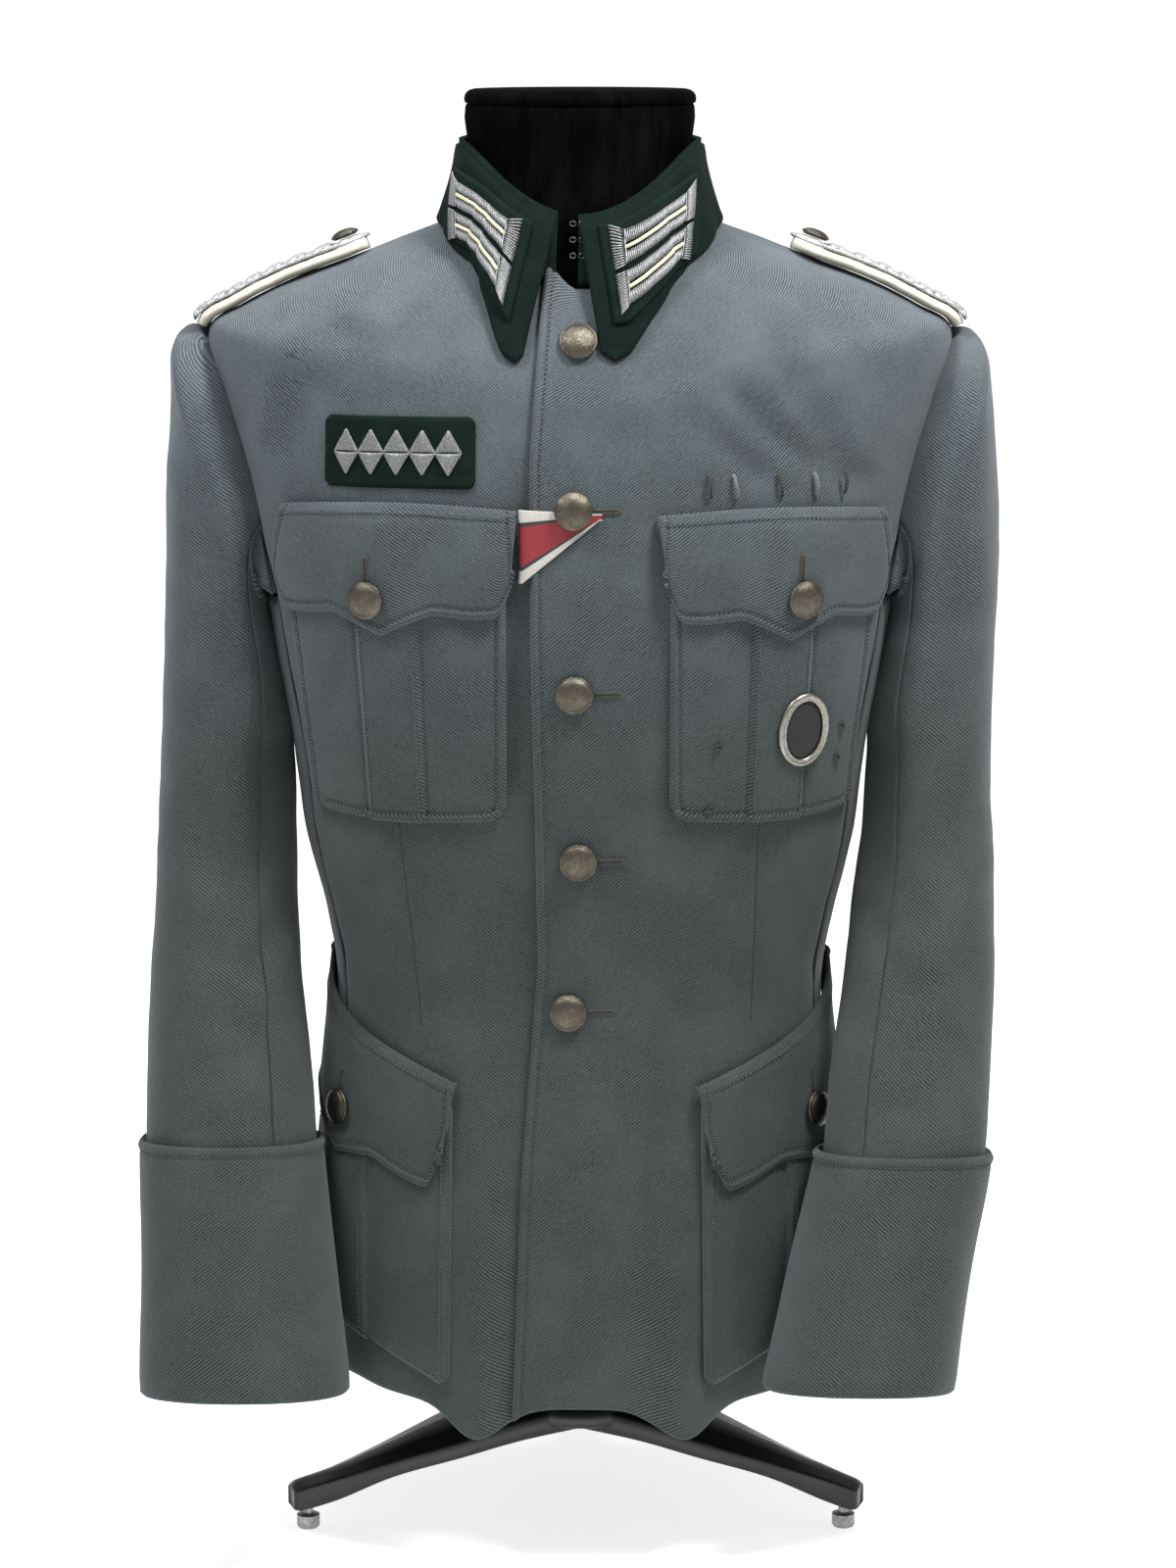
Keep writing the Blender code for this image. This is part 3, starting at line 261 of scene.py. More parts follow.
def body(theta, t, plain=False):
    """Outer surface of the body."""
    theta, t = np.broadcast_arrays(np.asarray(theta, float), np.asarray(t, float))
    row = rows_at(BODY, t)
    theta = (theta + 180) % 360 - 180
    x, y, r = polar(theta, row[..., 3], row[..., 4], row[..., 5], row[..., 6])
    c = np.cos(np.radians(theta))
    z = row[..., 1] + (np.where(c > 0, row[..., 0], row[..., 2]) - row[..., 1]) * c * c
    if plain:
        return np.stack([x, y, z], -1)
    out = np.zeros_like(x)
    low = smooth((4.2 - t) / 4.2)
    for at, wide, bulge, drop in LOBES:
        away = (theta - at + 180) % 360 - 180
        share = np.exp(-((away / wide) ** 2)) * low
        out += bulge * share
        z = z - drop * share * low
    for x0, z0, x1, z1, deep, wide in TROUGHS:
        out -= (t > 10.5) * (y < 0) * deep * near_line(x, z, x0, z0, x1, z1, wide)
    return np.stack([x + out * x / r, y + out * y / r, z], -1)


def near_line(x, z, x0, z0, x1, z1, wide):
    """1 on a line across and up a view, falling off over its half width."""
    along = ((x - x0) * (x1 - x0) + (z - z0) * (z1 - z0)) / ((x1 - x0) ** 2 + (z1 - z0) ** 2)
    near = np.clip(along, 0.0, 1.0)
    miss = np.hypot(x - x0 - near * (x1 - x0), z - z0 - near * (z1 - z0))
    return np.exp(-((miss / wide) ** 2))


def body_normal(theta, t):
    theta, t = np.broadcast_arrays(np.asarray(theta, float), np.asarray(t, float))
    along = body(theta + 0.4, t) - body(theta - 0.4, t)
    up = body(theta, np.minimum(t + 0.02, NECK)) - body(theta, np.maximum(t - 0.02, 0))
    return unit(np.cross(along, up))


def lap(theta, t):
    """Height of the left front over the right front."""
    return LAP * smooth((0.0465 - body(theta, t, plain=True)[..., 0]) / 0.0125)


def face(theta, t, out=0.0):
    """Points on the outermost front cloth, moved out."""
    theta, t = np.broadcast_arrays(np.asarray(theta, float), np.asarray(t, float))
    spot = body(theta, t)
    turned = (theta + 180) % 360 - 180
    x = body(theta, t, plain=True)[..., 0]
    over = (turned > -45) & (turned < 60) & (x > lerp(FRONT_EDGE, spot[..., 2]) - 0.004)
    return spot + body_normal(theta, t) * (out + np.where(over, lap(theta, t), 0.0))[..., None]


def angle_at(x, t):
    """Angles at which the front lies at x."""
    deep = rows_at(BODY, t)[..., 4]
    theta = np.degrees(np.arctan2(x, deep))
    for _ in range(5):
        theta = theta + np.degrees((x - body(theta, t, plain=True)[..., 0]) / deep)
    return theta


# Lengths round the rings from the centre front, on either side.
GIRTH_T = np.linspace(0, NECK, 200)
GIRTH_A = np.linspace(0, 180, 145)
GIRTH = {}
for s_ in (-1, 1):
    spots = body(s_ * GIRTH_A[None, :], GIRTH_T[:, None], plain=True)
    steps = np.linalg.norm(np.diff(spots, axis=1), axis=-1)
    GIRTH[s_] = np.concatenate([np.zeros((len(GIRTH_T), 1)), np.cumsum(steps, axis=1)], axis=1)


def girth_angle(side, s, t):
    """Angle at a length s round a ring from the centre front."""
    s, t = np.broadcast_arrays(np.asarray(s, float), np.asarray(t, float))
    row = t / NECK * (len(GIRTH_T) - 1)
    low = np.minimum(row.astype(int), len(GIRTH_T) - 2)
    lengths = GIRTH[side][low] + (GIRTH[side][low + 1] - GIRTH[side][low]) * (row - low)[..., None]
    k = np.clip((lengths < s[..., None]).sum(-1), 1, len(GIRTH_A) - 1)
    a = np.take_along_axis(lengths, (k - 1)[..., None], -1)[..., 0]
    b = np.take_along_axis(lengths, k[..., None], -1)[..., 0]
    return side * (GIRTH_A[k - 1] + (GIRTH_A[k] - GIRTH_A[k - 1]) * (s - a) / (b - a))


def place(side, s, z):
    """Angles and rings at lengths s round the body from the centre front and heights."""
    s, z = np.broadcast_arrays(np.asarray(s, float), np.asarray(z, float))
    theta = side * s / 0.15 * 57.3
    for _ in range(3):
        low, high = np.zeros_like(z), np.full_like(z, float(NECK))
        for _ in range(16):
            middle = (low + high) / 2
            under = body(theta, middle)[..., 2] < z
            low, high = np.where(under, middle, low), np.where(under, high, middle)
        theta = girth_angle(side, s, low)
    return theta, low


def on_body(side, s, z, out=0.0):
    theta, t = place(side, s, z)
    return face(theta, t, out)


def armhole(u):
    """Angles and rings of the armhole seam: tip, front, underarm, back."""
    u = np.asarray(u, float) % 1.0
    front, under = 7 / 18, 11 / 18
    t = np.where(u < front, TIP + (ARMPIT - TIP) * u / front,
                 np.where(u < under, float(ARMPIT), ARMPIT + (TIP - ARMPIT) * (u - under) / (1 - under)))
    a, b = lerp(SEAMS, ARMPIT, 1), lerp(SEAMS, ARMPIT, 2)
    theta = np.where(u < front, lerp(SEAMS, t, 1),
                     np.where(u < under, a + (b - a) * (u - front) / (under - front), lerp(SEAMS, t, 2)))
    return theta, t


def sleeve(side, u, s):
    """Outer surface of a sleeve: share round it from the top forward, ring down it."""
    u, s = np.broadcast_arrays(np.asarray(u, float), np.asarray(s, float))
    start = body(*armhole(u), plain=True)
    top, low = body(*armhole(0), plain=True), body(90, ARMPIT, plain=True)
    middle, half = (top[2] + low[2]) / 2, (top[2] - low[2]) / 2
    turn = np.arctan2(-start[..., 1] / 0.068, (start[..., 2] - middle) / half)
    row = rows_at(SLEEVES[side], s)
    xo, zo, xi, zi, yc, deep, tilt = (row[..., k] for k in range(7))
    c, d = np.cos(turn), np.sin(turn)
    c, d = (np.sign(q) * np.abs(q) ** (2 / SLEEVE_SQUARE) for q in (c, d))
    across, up = (xo + xi) / 2 + (xo - xi) / 2 * c, (zo + zi) / 2 + (zo - zi) / 2 * c
    y = yc - deep * d
    ring = np.stack([across, y, up - tilt * (y - yc)], -1)
    weight = smooth(s / 1.6)[..., None]
    p = (start + np.array([SEAM, 0, 0])) * (1 - weight) + ring * weight
    return p * np.array([side, 1, 1])


def ring_at(side, z):
    """Sleeve ring whose middle lies at a height below the elbow."""
    return np.interp(-np.asarray(z), [-row[1] for row in SLEEVES[side][7:]], range(7, 14))


def fold_line(theta, out=0.0):
    """Top of the collar stand, where the collar turns over."""
    half, front, back, square = COLLAR_FOLD
    x, y, r = polar(theta, half, front, back, square)
    c = np.cos(np.radians(theta))
    low, middle, high = FOLD_HEIGHT
    z = middle + np.where(c > 0, (low - middle) * c**3, (high - middle) * c * c)
    return np.stack([x * (1 + out / r), y * (1 + out / r), z], -1)


def edge_line(theta, out):
    """Outer edge of the collar, lying on the body."""
    theta = (theta + 180) % 360 - 180
    z = np.where(theta > -5, lerp(COLLAR_EDGE[1], np.abs(theta)), lerp(COLLAR_EDGE[-1], np.abs(theta)))
    low, high = np.full_like(z, 12.0), np.full_like(z, float(NECK))
    for _ in range(18):
        middle = (low + high) / 2
        under = body(theta, middle)[..., 2] < z
        low, high = np.where(under, middle, low), np.where(under, high, middle)
    return face(theta, low, out)


def collar(theta, v, out=0.0):
    """Outer surface of the fallen collar: angle at the fold, share from fold to edge."""
    theta, v = np.broadcast_arrays(np.asarray(theta, float), np.asarray(v, float))
    signed = (theta + 180) % 360 - 180
    front = smooth((26 - np.abs(signed + 5)) / 22)
    side = np.where(signed > -5, 1, -1)
    a = fold_line(signed, 0.0025 * smooth(v / 0.05) + SEAM)
    b = edge_line(signed + side * 7 * front, COLLAR_SEAT + WALL)
    p = a + (b - a) * v[..., None]
    p[..., 2] += 0.0016 * np.sin(math.pi * np.minimum(v * 4, 1))
    flat = unit(p * FLAT)
    turn = np.radians(signed)
    bulge = 0.0025 * np.maximum(np.cos(turn), 0) - 0.0012 * np.abs(np.sin(turn))
    return p + flat * (bulge * np.sin(math.pi * v) + out)[..., None]

# Distances of the close grid lines beside an edge and beside a seam, and of the stitching
# from an edge.
EDGE_LINES = (0.0, 0.0008, 0.0017, 0.0028, 0.0040, 0.0049, 0.0056, 0.0063, 0.0072, 0.0088, 0.0115)
SEAM_LINES = (0.0, 0.0012, 0.0028, 0.0050)
STITCH_IN = 0.0056


def lines(width, step, start="free", end="free"):
    """Shares from 0 to 1 with close lines at the edges and even ones between."""
    def near(kind):
        table = {"free": EDGE_LINES, "seam": SEAM_LINES}.get(kind, (0.0,))
        return [q for q in table if q < width * 0.45]

    first, last = near(start), near(end)
    room = width - first[-1] - last[-1]
    count = max(int(room / step), 2)
    middle = [first[-1] + room * k / count for k in range(1, count)]
    return np.array(first + middle + [width - q for q in last[::-1]]) / width


def arcs(grid):
    """Lengths along the columns and the rows of a grid."""
    u = np.linalg.norm(np.diff(grid, axis=1), axis=-1)
    v = np.linalg.norm(np.diff(grid, axis=0), axis=-1)
    u = np.concatenate([np.zeros((len(grid), 1)), np.cumsum(u, axis=1)], axis=1)
    v = np.concatenate([np.zeros((1, grid.shape[1])), np.cumsum(v, axis=0)], axis=0)
    return u, v


def normals(grid, outward):
    """Unit normals of a grid, on the side of the outward vectors."""
    n = unit(np.cross(np.gradient(grid, axis=1), np.gradient(grid, axis=0)))
    facing = (n * outward).sum()
    return n * np.sign(facing) if facing else n


def edge_form(d, kind):
    """Rise of the cloth at a distance from its edge."""
    if kind == "free":
        roll = -0.0011 * (1 - smooth(d / 0.0017))
        swell = 0.0009 * smooth((d - 0.0006) / 0.0018) * (1 - smooth((d - 0.0038) / 0.0018))
        return roll + swell - 0.0007 * np.exp(-(((d - STITCH_IN) / 0.0011) ** 2))
    if kind == "plain":
        return -0.0010 * (1 - smooth(d / 0.0017)) + 0.0003 * np.exp(-(((d - 0.003) / 0.0018) ** 2))
    if kind == "seam":
        return -0.0010 * (1 - smooth(d / 0.0030)) - 0.0003 * np.exp(-((d / 0.009) ** 2))
    return np.zeros_like(d)


def waves(points, size, seed):
    """Soft uneven heights, about -1 to 1."""
    shape = points.shape[:-1]
    flat = points.reshape(-1, 3) / size + seed
    return np.array([noise.noise(Vector(p)) for p in flat]).reshape(shape)


def fold_height(points, table):
    """Troughs and ridges from a table: across and height of both ends, bow, depth, half
    width at both ends."""
    x, z = points[..., 0], points[..., 2]
    total = np.zeros_like(x)
    for x0, z0, x1, z1, bow, deep, w0, w1 in table:
        dx, dz = x1 - x0, z1 - z0
        long = math.hypot(dx, dz)
        along = ((x - x0) * dx + (z - z0) * dz) / long**2
        a = np.clip(along, 0, 1)
        off = ((x - x0) * dz - (z - z0) * dx) / long - bow * 4 * a * (1 - a)
        wide = w0 + (w1 - w0) * a
        past = (along - a) * long
        ends = smooth(np.minimum(a, 1 - a) * 5 + 0.25)
        total += deep * np.exp(-((off / wide) ** 2) - (past / wide) ** 2) * ends
    return total


class Piece:
    """A fine grid of cloth with its normals, and the paths that lie on it."""

    def __init__(self, grid, outward, edges, rise):
        n = normals(grid, outward)
        self.u, self.v = arcs(grid)
        self.width, self.height = self.u[:, -1:], self.v[-1:, :]
        from_edges = (self.u, self.width - self.u, self.v, self.height - self.v)
        for d, kind in zip(from_edges, edges):
            rise = rise + edge_form(d, kind)
        self.p = grid + n * rise[..., None]
        self.n = normals(self.p, outward)

    def spot(self, i, j, out=0.0):
        """Point and normal at fractional row and column."""
        i, j = np.asarray(i, float), np.asarray(j, float)
        rows, cols = self.p.shape[:2]
        a, b = np.clip(i.astype(int), 0, rows - 2), np.clip(j.astype(int), 0, cols - 2)
        s, t = (i - a)[..., None], (j - b)[..., None]
        found = []
        for q in (self.p, self.n):
            found.append((q[a, b] * (1 - t) + q[a, b + 1] * t) * (1 - s)
                         + (q[a + 1, b] * (1 - t) + q[a + 1, b + 1] * t) * s)
        n = unit(found[1])
        return found[0] + n * out, n

    def near(self, point):
        """Point and normal of the grid nearest to a point."""
        gap = np.linalg.norm(self.p - point, axis=-1)
        i, j = np.unravel_index(int(gap.argmin()), gap.shape)
        return self.p[i, j], self.n[i, j]

    def between(self, point):
        """Point of the cloth's face abreast of a point near it, and its normal."""
        spot, n = self.near(point)
        return point + n * float(n @ (spot - point)), n

    def down(self, d, from_end=False, start=0.0, end=0.0):
        """Path along the rows at a distance from the first or the last column."""
        i, j = [], []
        for k in range(self.p.shape[0]):
            here = float(self.v[k].mean())
            if here < start or here > float(self.height.mean()) - end:
                continue
            goal = self.u[k, -1] - d if from_end else d
            i.append(k)
            j.append(float(np.interp(goal, self.u[k], np.arange(self.u.shape[1]))))
        return self.spot(i, j)

    def along(self, d, from_end=False, start=0.0, end=0.0):
        """Path along the columns at a distance from the first or the last row."""
        i, j = [], []
        for k in range(self.p.shape[1]):
            here = float(self.u[:, k].mean())
            if here < start or here > float(self.width.mean()) - end:
                continue
            goal = self.v[-1, k] - d if from_end else d
            j.append(k)
            i.append(float(np.interp(goal, self.v[:, k], np.arange(self.v.shape[0]))))
        return self.spot(i, j)


def finish_piece(obj, material, node=None):
    """Smooth piece of the root body, with its material and the node it replaces."""
    obj.data.materials.clear()
    obj.data.materials.append(material)
    for polygon in obj.data.polygons:
        polygon.use_smooth = True
    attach(obj, "root")
    if node:
        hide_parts(node)
    return obj


def mesh_object(name, points, faces, uv=None):
    mesh = bpy.data.meshes.new(name)
    mesh.from_pydata((np.asarray(points, float) + MOVE).tolist(), [], faces)
    mesh.update()
    if uv is not None:
        layer = mesh.uv_layers.new(name="cut")
        corners = np.empty(len(mesh.loops), np.int32)
        mesh.loops.foreach_get("vertex_index", corners)
        layer.data.foreach_set("uv", np.asarray(uv, np.float32)[corners].ravel())
    obj = bpy.data.objects.new(name, mesh)
    bpy.context.scene.collection.objects.link(obj)
    return obj


def face_out(obj):
    """Turns a closed mesh's faces outward."""
    mesh = obj.data
    mesh.calc_loop_triangles()
    total = 0.0
    middle = Vector(np.mean([tuple(v.co) for v in mesh.vertices], axis=0))
    for tri in mesh.loop_triangles:
        a, b, c = (mesh.vertices[i].co - middle for i in tri.vertices)
        total += a.dot(b.cross(c))
    if total < 0:
        mesh.flip_normals()
    return obj


def skin(rings, count, joined=False):
    """Faces through rings of count points, with end caps or with the last joined to the first."""
    faces = []
    for i in range(rings if joined else rings - 1):
        a, b = i * count, (i + 1) % rings * count
        for j in range(count):
            k = (j + 1) % count
            faces.append((a + j, a + k, b + k, b + j))
    if not joined:
        faces += [tuple(range(count))[::-1], tuple((rings - 1) * count + j for j in range(count))]
    return faces


def ring_solid(name, rings, uv=None, joined=False):
    """Closed mesh through rings of equally many points."""
    rings = np.array(rings)
    return face_out(mesh_object(name, rings.reshape(-1, 3), skin(*rings.shape[:2], joined), uv))


def cloth(name, piece, material, node, wall=WALL, uv_from=(0.0, 0.0), inner=None,
          grain=None):
    """Thin closed shell of a piece of cloth."""
    rows, cols = piece.p.shape[:2]
    inside = piece.p - piece.n * wall if inner is None else inner
    count = rows * cols
    i, j = np.meshgrid(np.arange(rows - 1), np.arange(cols - 1), indexing="ij")
    a = i * cols + j
    quads = np.stack([a, a + 1, a + cols + 1, a + cols], -1).reshape(-1, 4)
    faces = quads.tolist() + (quads[:, ::-1] + count).tolist()
    last = count - cols
    for a in range(cols - 1):
        faces.append((a, count + a, count + a + 1, a + 1))
        faces.append((last + a, last + a + 1, count + last + a + 1, count + last + a))
    for a in range(0, last, cols):
        b, c, d = a + cols, a + cols - 1, a + 2 * cols - 1
        faces.append((a, b, count + b, count + a))
        faces.append((c, count + c, count + d, d))
    if grain is None:
        grain = np.stack([piece.u, np.broadcast_to(piece.v.mean(axis=1, keepdims=True), piece.u.shape)], -1)
    uv = (grain + np.array(uv_from)).reshape(-1, 2)
    obj = mesh_object(name, np.concatenate([piece.p.reshape(-1, 3), inside.reshape(-1, 3)]), faces,
                      np.concatenate([uv, uv + 0.37]))
    return finish_piece(face_out(obj), material, node)


THREADS = {}
STITCH_PITCH, STITCH_LONG, STITCH_THICK = 0.0029, 0.0021, 0.00044
# Cross sections of a stitch: share of its length, share of its thickness, height.
STITCH_FORM = (
    (-0.5, 0.45, -0.0002), (-0.22, 1.0, 0.00022), (0.22, 1.0, 0.00022), (0.5, 0.45, -0.0002),
)


def stitches(key, path):
    """Row of stitches along a path of points and normals."""
    points, n = path
    if len(points) < 2:
        return
    steps = np.linalg.norm(np.diff(points, axis=0), axis=1)
    at = np.concatenate([[0], np.cumsum(steps)])
    if at[-1] < STITCH_PITCH * 2:
        return
    heap = THREADS.setdefault(key, Heap())

    def ask(table, d):
        return np.stack([np.interp(d, at, table[:, k]) for k in range(3)], -1)

    for s in np.arange(STITCH_PITCH / 2, at[-1] - STITCH_PITCH / 2, STITCH_PITCH):
        forward = unit(ask(points, s + 0.0005) - ask(points, s - 0.0005))
        m = unit(ask(n, s))
        side = np.cross(forward, m)
        vertices = []
        for share, big, high in STITCH_FORM:
            c = ask(points, s + share * STITCH_LONG)
            for turn in (45, 135, 225, 315):
                a = math.radians(turn)
                vertices.append(c + (side * math.cos(a) + m * math.sin(a)) * STITCH_THICK * big
                                + m * (high + STITCH_THICK * 0.6))
        heap.add((vertices, skin(4, 4)))


def tube(points, radius, sides=6, flat=1.0, normal=None, closed=False, taper=0.0):
    """Vertices and faces of a cord through points; flat squeezes it along the normals."""
    points = np.asarray(points, float)
    n = len(points)
    if closed:
        forward = unit(np.roll(points, -1, axis=0) - np.roll(points, 1, axis=0))
    else:
        forward = unit(np.gradient(points, axis=0))
    if normal is None:
        up = np.array([0.0, 0.0, 1.0]) if abs(forward[0][2]) < 0.9 else np.array([1.0, 0.0, 0.0])
        normal = []
        for f in forward:
            up = unit(up - f * (up @ f))
            normal.append(up)
        normal = np.array(normal)
    normal = unit(normal - forward * (normal * forward).sum(-1, keepdims=True))
    side = np.cross(forward, normal)
    vertices = []
    for i in range(n):
        r = radius * (1 - taper * (i in (0, n - 1)))
        for k in range(sides):
            a = 2 * math.pi * k / sides
            vertices.append(points[i] + side[i] * math.cos(a) * r + normal[i] * math.sin(a) * r * flat)
    return vertices, skin(n, sides, closed)


class Heap:
    """Many small closed bodies that become one piece."""

    def __init__(self):
        self.vertices, self.faces = [], []

    def add(self, made):
        base = len(self.vertices)
        self.vertices += list(made[0])
        self.faces += [tuple(base + k for k in f) for f in made[1]]

    def piece(self, name, material, node=None, slot=None):
        obj = mesh_object(name, self.vertices, self.faces)
        mesh = bmesh.new()
        mesh.from_mesh(obj.data)
        bmesh.ops.recalc_face_normals(mesh, faces=mesh.faces)
        mesh.to_mesh(obj.data)
        mesh.free()
        return finish_piece(obj, material, node)


class Shader:
    """Builds a node material with few words."""

    def __init__(self, name, colour, rough=0.8, metal=0.0):
        self.material = bpy.data.materials.new(name)
        self.material.use_nodes = True
        self.tree = self.material.node_tree
        self.main = self.tree.nodes["Principled BSDF"]
        self.main.inputs["Base Color"].default_value = (*colour, 1)
        self.main.inputs["Roughness"].default_value = rough
        self.main.inputs["Metallic"].default_value = metal
        self.height = None

    def node(self, kind, **values):
        node = self.tree.nodes.new(kind)
        for key, value in values.items():
            setattr(node, key, value)
        return node

    def link(self, a, b):
        self.tree.links.new(a, b)

    def cut(self, scale=(1, 1, 1), turn=0.0):
        """Coordinates along the cut of the cloth."""
        source = self.node("ShaderNodeUVMap", uv_map="cut")
        return self.mapped(source.outputs["UV"], scale, turn)

    def room(self, scale=(1, 1, 1)):
        source = self.node("ShaderNodeTexCoord")
        return self.mapped(source.outputs["Object"], scale, 0.0)

    def mapped(self, out, scale, turn):
        turned = self.node("ShaderNodeMapping")
        turned.inputs["Rotation"].default_value = (0, 0, math.radians(turn))
        self.link(out, turned.inputs["Vector"])
        sized = self.node("ShaderNodeMapping")
        sized.inputs["Scale"].default_value = scale
        self.link(turned.outputs["Vector"], sized.inputs["Vector"])
        return sized.outputs["Vector"]

    def noise(self, where, scale=1.0, detail=2.0, rough=0.5):
        node = self.node("ShaderNodeTexNoise")
        node.inputs["Scale"].default_value = scale
        node.inputs["Detail"].default_value = detail
        node.inputs["Roughness"].default_value = rough
        self.link(where, node.inputs["Vector"])
        return node.outputs["Fac"]

    def cells(self, where, scale):
        node = self.node("ShaderNodeTexVoronoi")
        node.inputs["Scale"].default_value = scale
        self.link(where, node.inputs["Vector"])
        return node.outputs["Distance"]

    def bands(self, where, scale, bend=0.0, detail=1.0, axis="X"):
        node = self.node("ShaderNodeTexWave")
        node.bands_direction = axis
        node.inputs["Scale"].default_value = scale
        node.inputs["Distortion"].default_value = bend
        node.inputs["Detail"].default_value = detail
        node.inputs["Detail Scale"].default_value = 3.0
        self.link(where, node.inputs["Vector"])
        return node.outputs["Fac"]

    def spread(self, value, low, high, to_low=0.0, to_high=1.0):
        node = self.node("ShaderNodeMapRange")
        self.link(value, node.inputs["Value"])
        for key, number in (("From Min", low), ("From Max", high), ("To Min", to_low), ("To Max", to_high)):
            node.inputs[key].default_value = number
        return node.outputs["Result"]

    def maths(self, kind, a, b):
        node = self.node("ShaderNodeMath", operation=kind)
        for k, value in enumerate((a, b)):
            if isinstance(value, (int, float)):
                node.inputs[k].default_value = value
            else:
                self.link(value, node.inputs[k])
        return node.outputs["Value"]

    def mix(self, share, a, b):
        node = self.node("ShaderNodeMix", data_type="RGBA")
        for key, value in ((6, a), (7, b)):
            if isinstance(value, tuple):
                node.inputs[key].default_value = (*value, 1)
            else:
                self.link(value, node.inputs[key])
        if isinstance(share, (int, float)):
            node.inputs[0].default_value = share
        else:
            self.link(share, node.inputs[0])
        return node.outputs[2]

    def colour(self, out):
        self.link(out, self.main.inputs["Base Color"])

    def rough(self, out):
        self.link(out, self.main.inputs["Roughness"])

    def bump(self, out, strength, distance):
        node = self.node("ShaderNodeBump")
        node.inputs["Strength"].default_value = strength
        node.inputs["Distance"].default_value = distance
        self.link(out, node.inputs["Height"])
        if self.height is not None:
            self.link(self.height, node.inputs["Normal"])
        self.height = node.outputs["Normal"]
        self.link(self.height, self.main.inputs["Normal"])

    def sheen(self, weight, rough, tint=(1, 1, 1)):
        self.main.inputs["Sheen Weight"].default_value = weight
        self.main.inputs["Sheen Roughness"].default_value = rough
        self.main.inputs["Sheen Tint"].default_value = (*tint, 1)


def wool_cloth(name, low, high, turn=-38.0):
    """Wool twill with flecks: fine slanting ribs, soft cloudy patches, and painted light that makes it
    brighter and bluer towards the shoulders and darker lower down.
    """
    s = Shader(name, high, 0.90)
    ribs = s.bands(s.cut((1, 1, 1), turn), 185.0, 1.6, 2.0, "Y")
    flecks = s.noise(s.cut((260, 1500, 1), turn), 1.0, 2.0, 0.6)
    fuzz = s.noise(s.room(), 1900.0, 2.0, 0.6)
    cloudy = s.noise(s.room(), 26.0, 3.0, 0.55)
    tone = s.maths("ADD", s.maths("MULTIPLY", ribs, 0.46), s.maths("MULTIPLY", flecks, 0.54))
    base = s.mix(s.spread(tone, 0.30, 0.70), low, high)
    grey = tuple(min(q * 1.18 + 0.004, 1) for q in high)
    base = s.mix(s.spread(cloudy, 0.42, 0.72, 0.0, 0.25), base, grey)
    base = s.mix(s.spread(fuzz, 0.62, 0.80, 0.0, 0.25), base, tuple(min(q * 1.7, 1) for q in high))
    # Painted light: by height, the colour is multiplied by a tint running from darker low down to brighter
    # and bluer at the shoulders; fade is the share of that painted top light.
    height = s.node("ShaderNodeSeparateXYZ")
    s.link(s.room(), height.inputs["Vector"])
    fade = s.spread(height.outputs["Z"], 0.46, 0.72)
    painted_top_light = s.node("ShaderNodeMix", data_type="RGBA", blend_type="MULTIPLY")
    painted_top_light.inputs[0].default_value = 1.0
    s.link(base, painted_top_light.inputs[6])
    s.link(s.mix(fade, (0.72, 0.75, 0.735), (1.14, 1.20, 1.34)), painted_top_light.inputs[7])
    s.colour(painted_top_light.outputs[2])
    s.bump(ribs, 0.22, 0.00035)
    s.bump(flecks, 0.22, 0.00030)
    s.bump(fuzz, 0.22, 0.00025)
    s.main.inputs["Specular IOR Level"].default_value = 0.22
    s.sheen(0.12, 0.55, (0.75, 0.80, 0.85))
    return s.material


def felt_cloth(name, low, high, sheen=0.12):
    s = Shader(name, high, 0.95)
    fuzz = s.noise(s.room(), 1500.0, 4.0, 0.7)
    cloudy = s.noise(s.room(), 60.0, 3.0, 0.6)
    base = s.mix(s.spread(fuzz, 0.35, 0.70), low, high)
    s.colour(s.mix(s.spread(cloudy, 0.45, 0.75, 0.0, 0.35), base, tuple(min(q * 1.5, 1) for q in high)))
    s.bump(fuzz, 0.45, 0.00040)
    s.main.inputs["Specular IOR Level"].default_value = 0.06
    s.sheen(sheen * 0.35, 0.5, (0.6, 0.8, 0.7))
    return s.material


def thread(name, low, high, rough=0.7, sheen=0.1, scale=2200.0, metal=0.0):
    s = Shader(name, high, rough, metal)
    grain = s.noise(s.room(), scale, 2.0, 0.6)
    s.colour(s.mix(s.spread(grain, 0.35, 0.70), low, high))
    s.bump(grain, 0.35, 0.00020)
    s.sheen(sheen, 0.4)
    return s.material


def pebbled_metal(name):
    s = Shader(name, (0.19, 0.17, 0.13), 0.42, 1.0)
    pebbles = s.cells(s.room(), 2300.0)
    wear = s.noise(s.room(), 260.0, 4.0, 0.65)
    tone = s.mix(s.spread(pebbles, 0.10, 0.55), (0.15, 0.137, 0.108), (0.070, 0.061, 0.046))
    s.colour(s.mix(s.spread(wear, 0.48, 0.70, 0.0, 0.30), tone, (0.22, 0.205, 0.172)))
    s.rough(s.spread(wear, 0.3, 0.7, 0.46, 0.30))
    s.bump(pebbles, 0.50, -0.00025)
    s.bump(wear, 0.10, 0.00020)
    return s.material


def dark_velvet(name):
    s = Shader(name, (0.0016, 0.0016, 0.0018), 0.95)
    nap = s.noise(s.room((90, 90, 22)), 1.0, 4.0, 0.6)
    pile = s.noise(s.room(), 2400.0, 2.0, 0.6)
    s.colour(s.mix(s.spread(nap, 0.40, 0.72), (0.0008, 0.0008, 0.0009), (0.0030, 0.0030, 0.0033)))
    s.bump(nap, 0.25, 0.0012)
    s.bump(pile, 0.35, 0.0003)
    s.main.inputs["Specular IOR Level"].default_value = 0.01
    s.sheen(0.002, 0.30, (0.8, 0.8, 0.85))
    return s.material


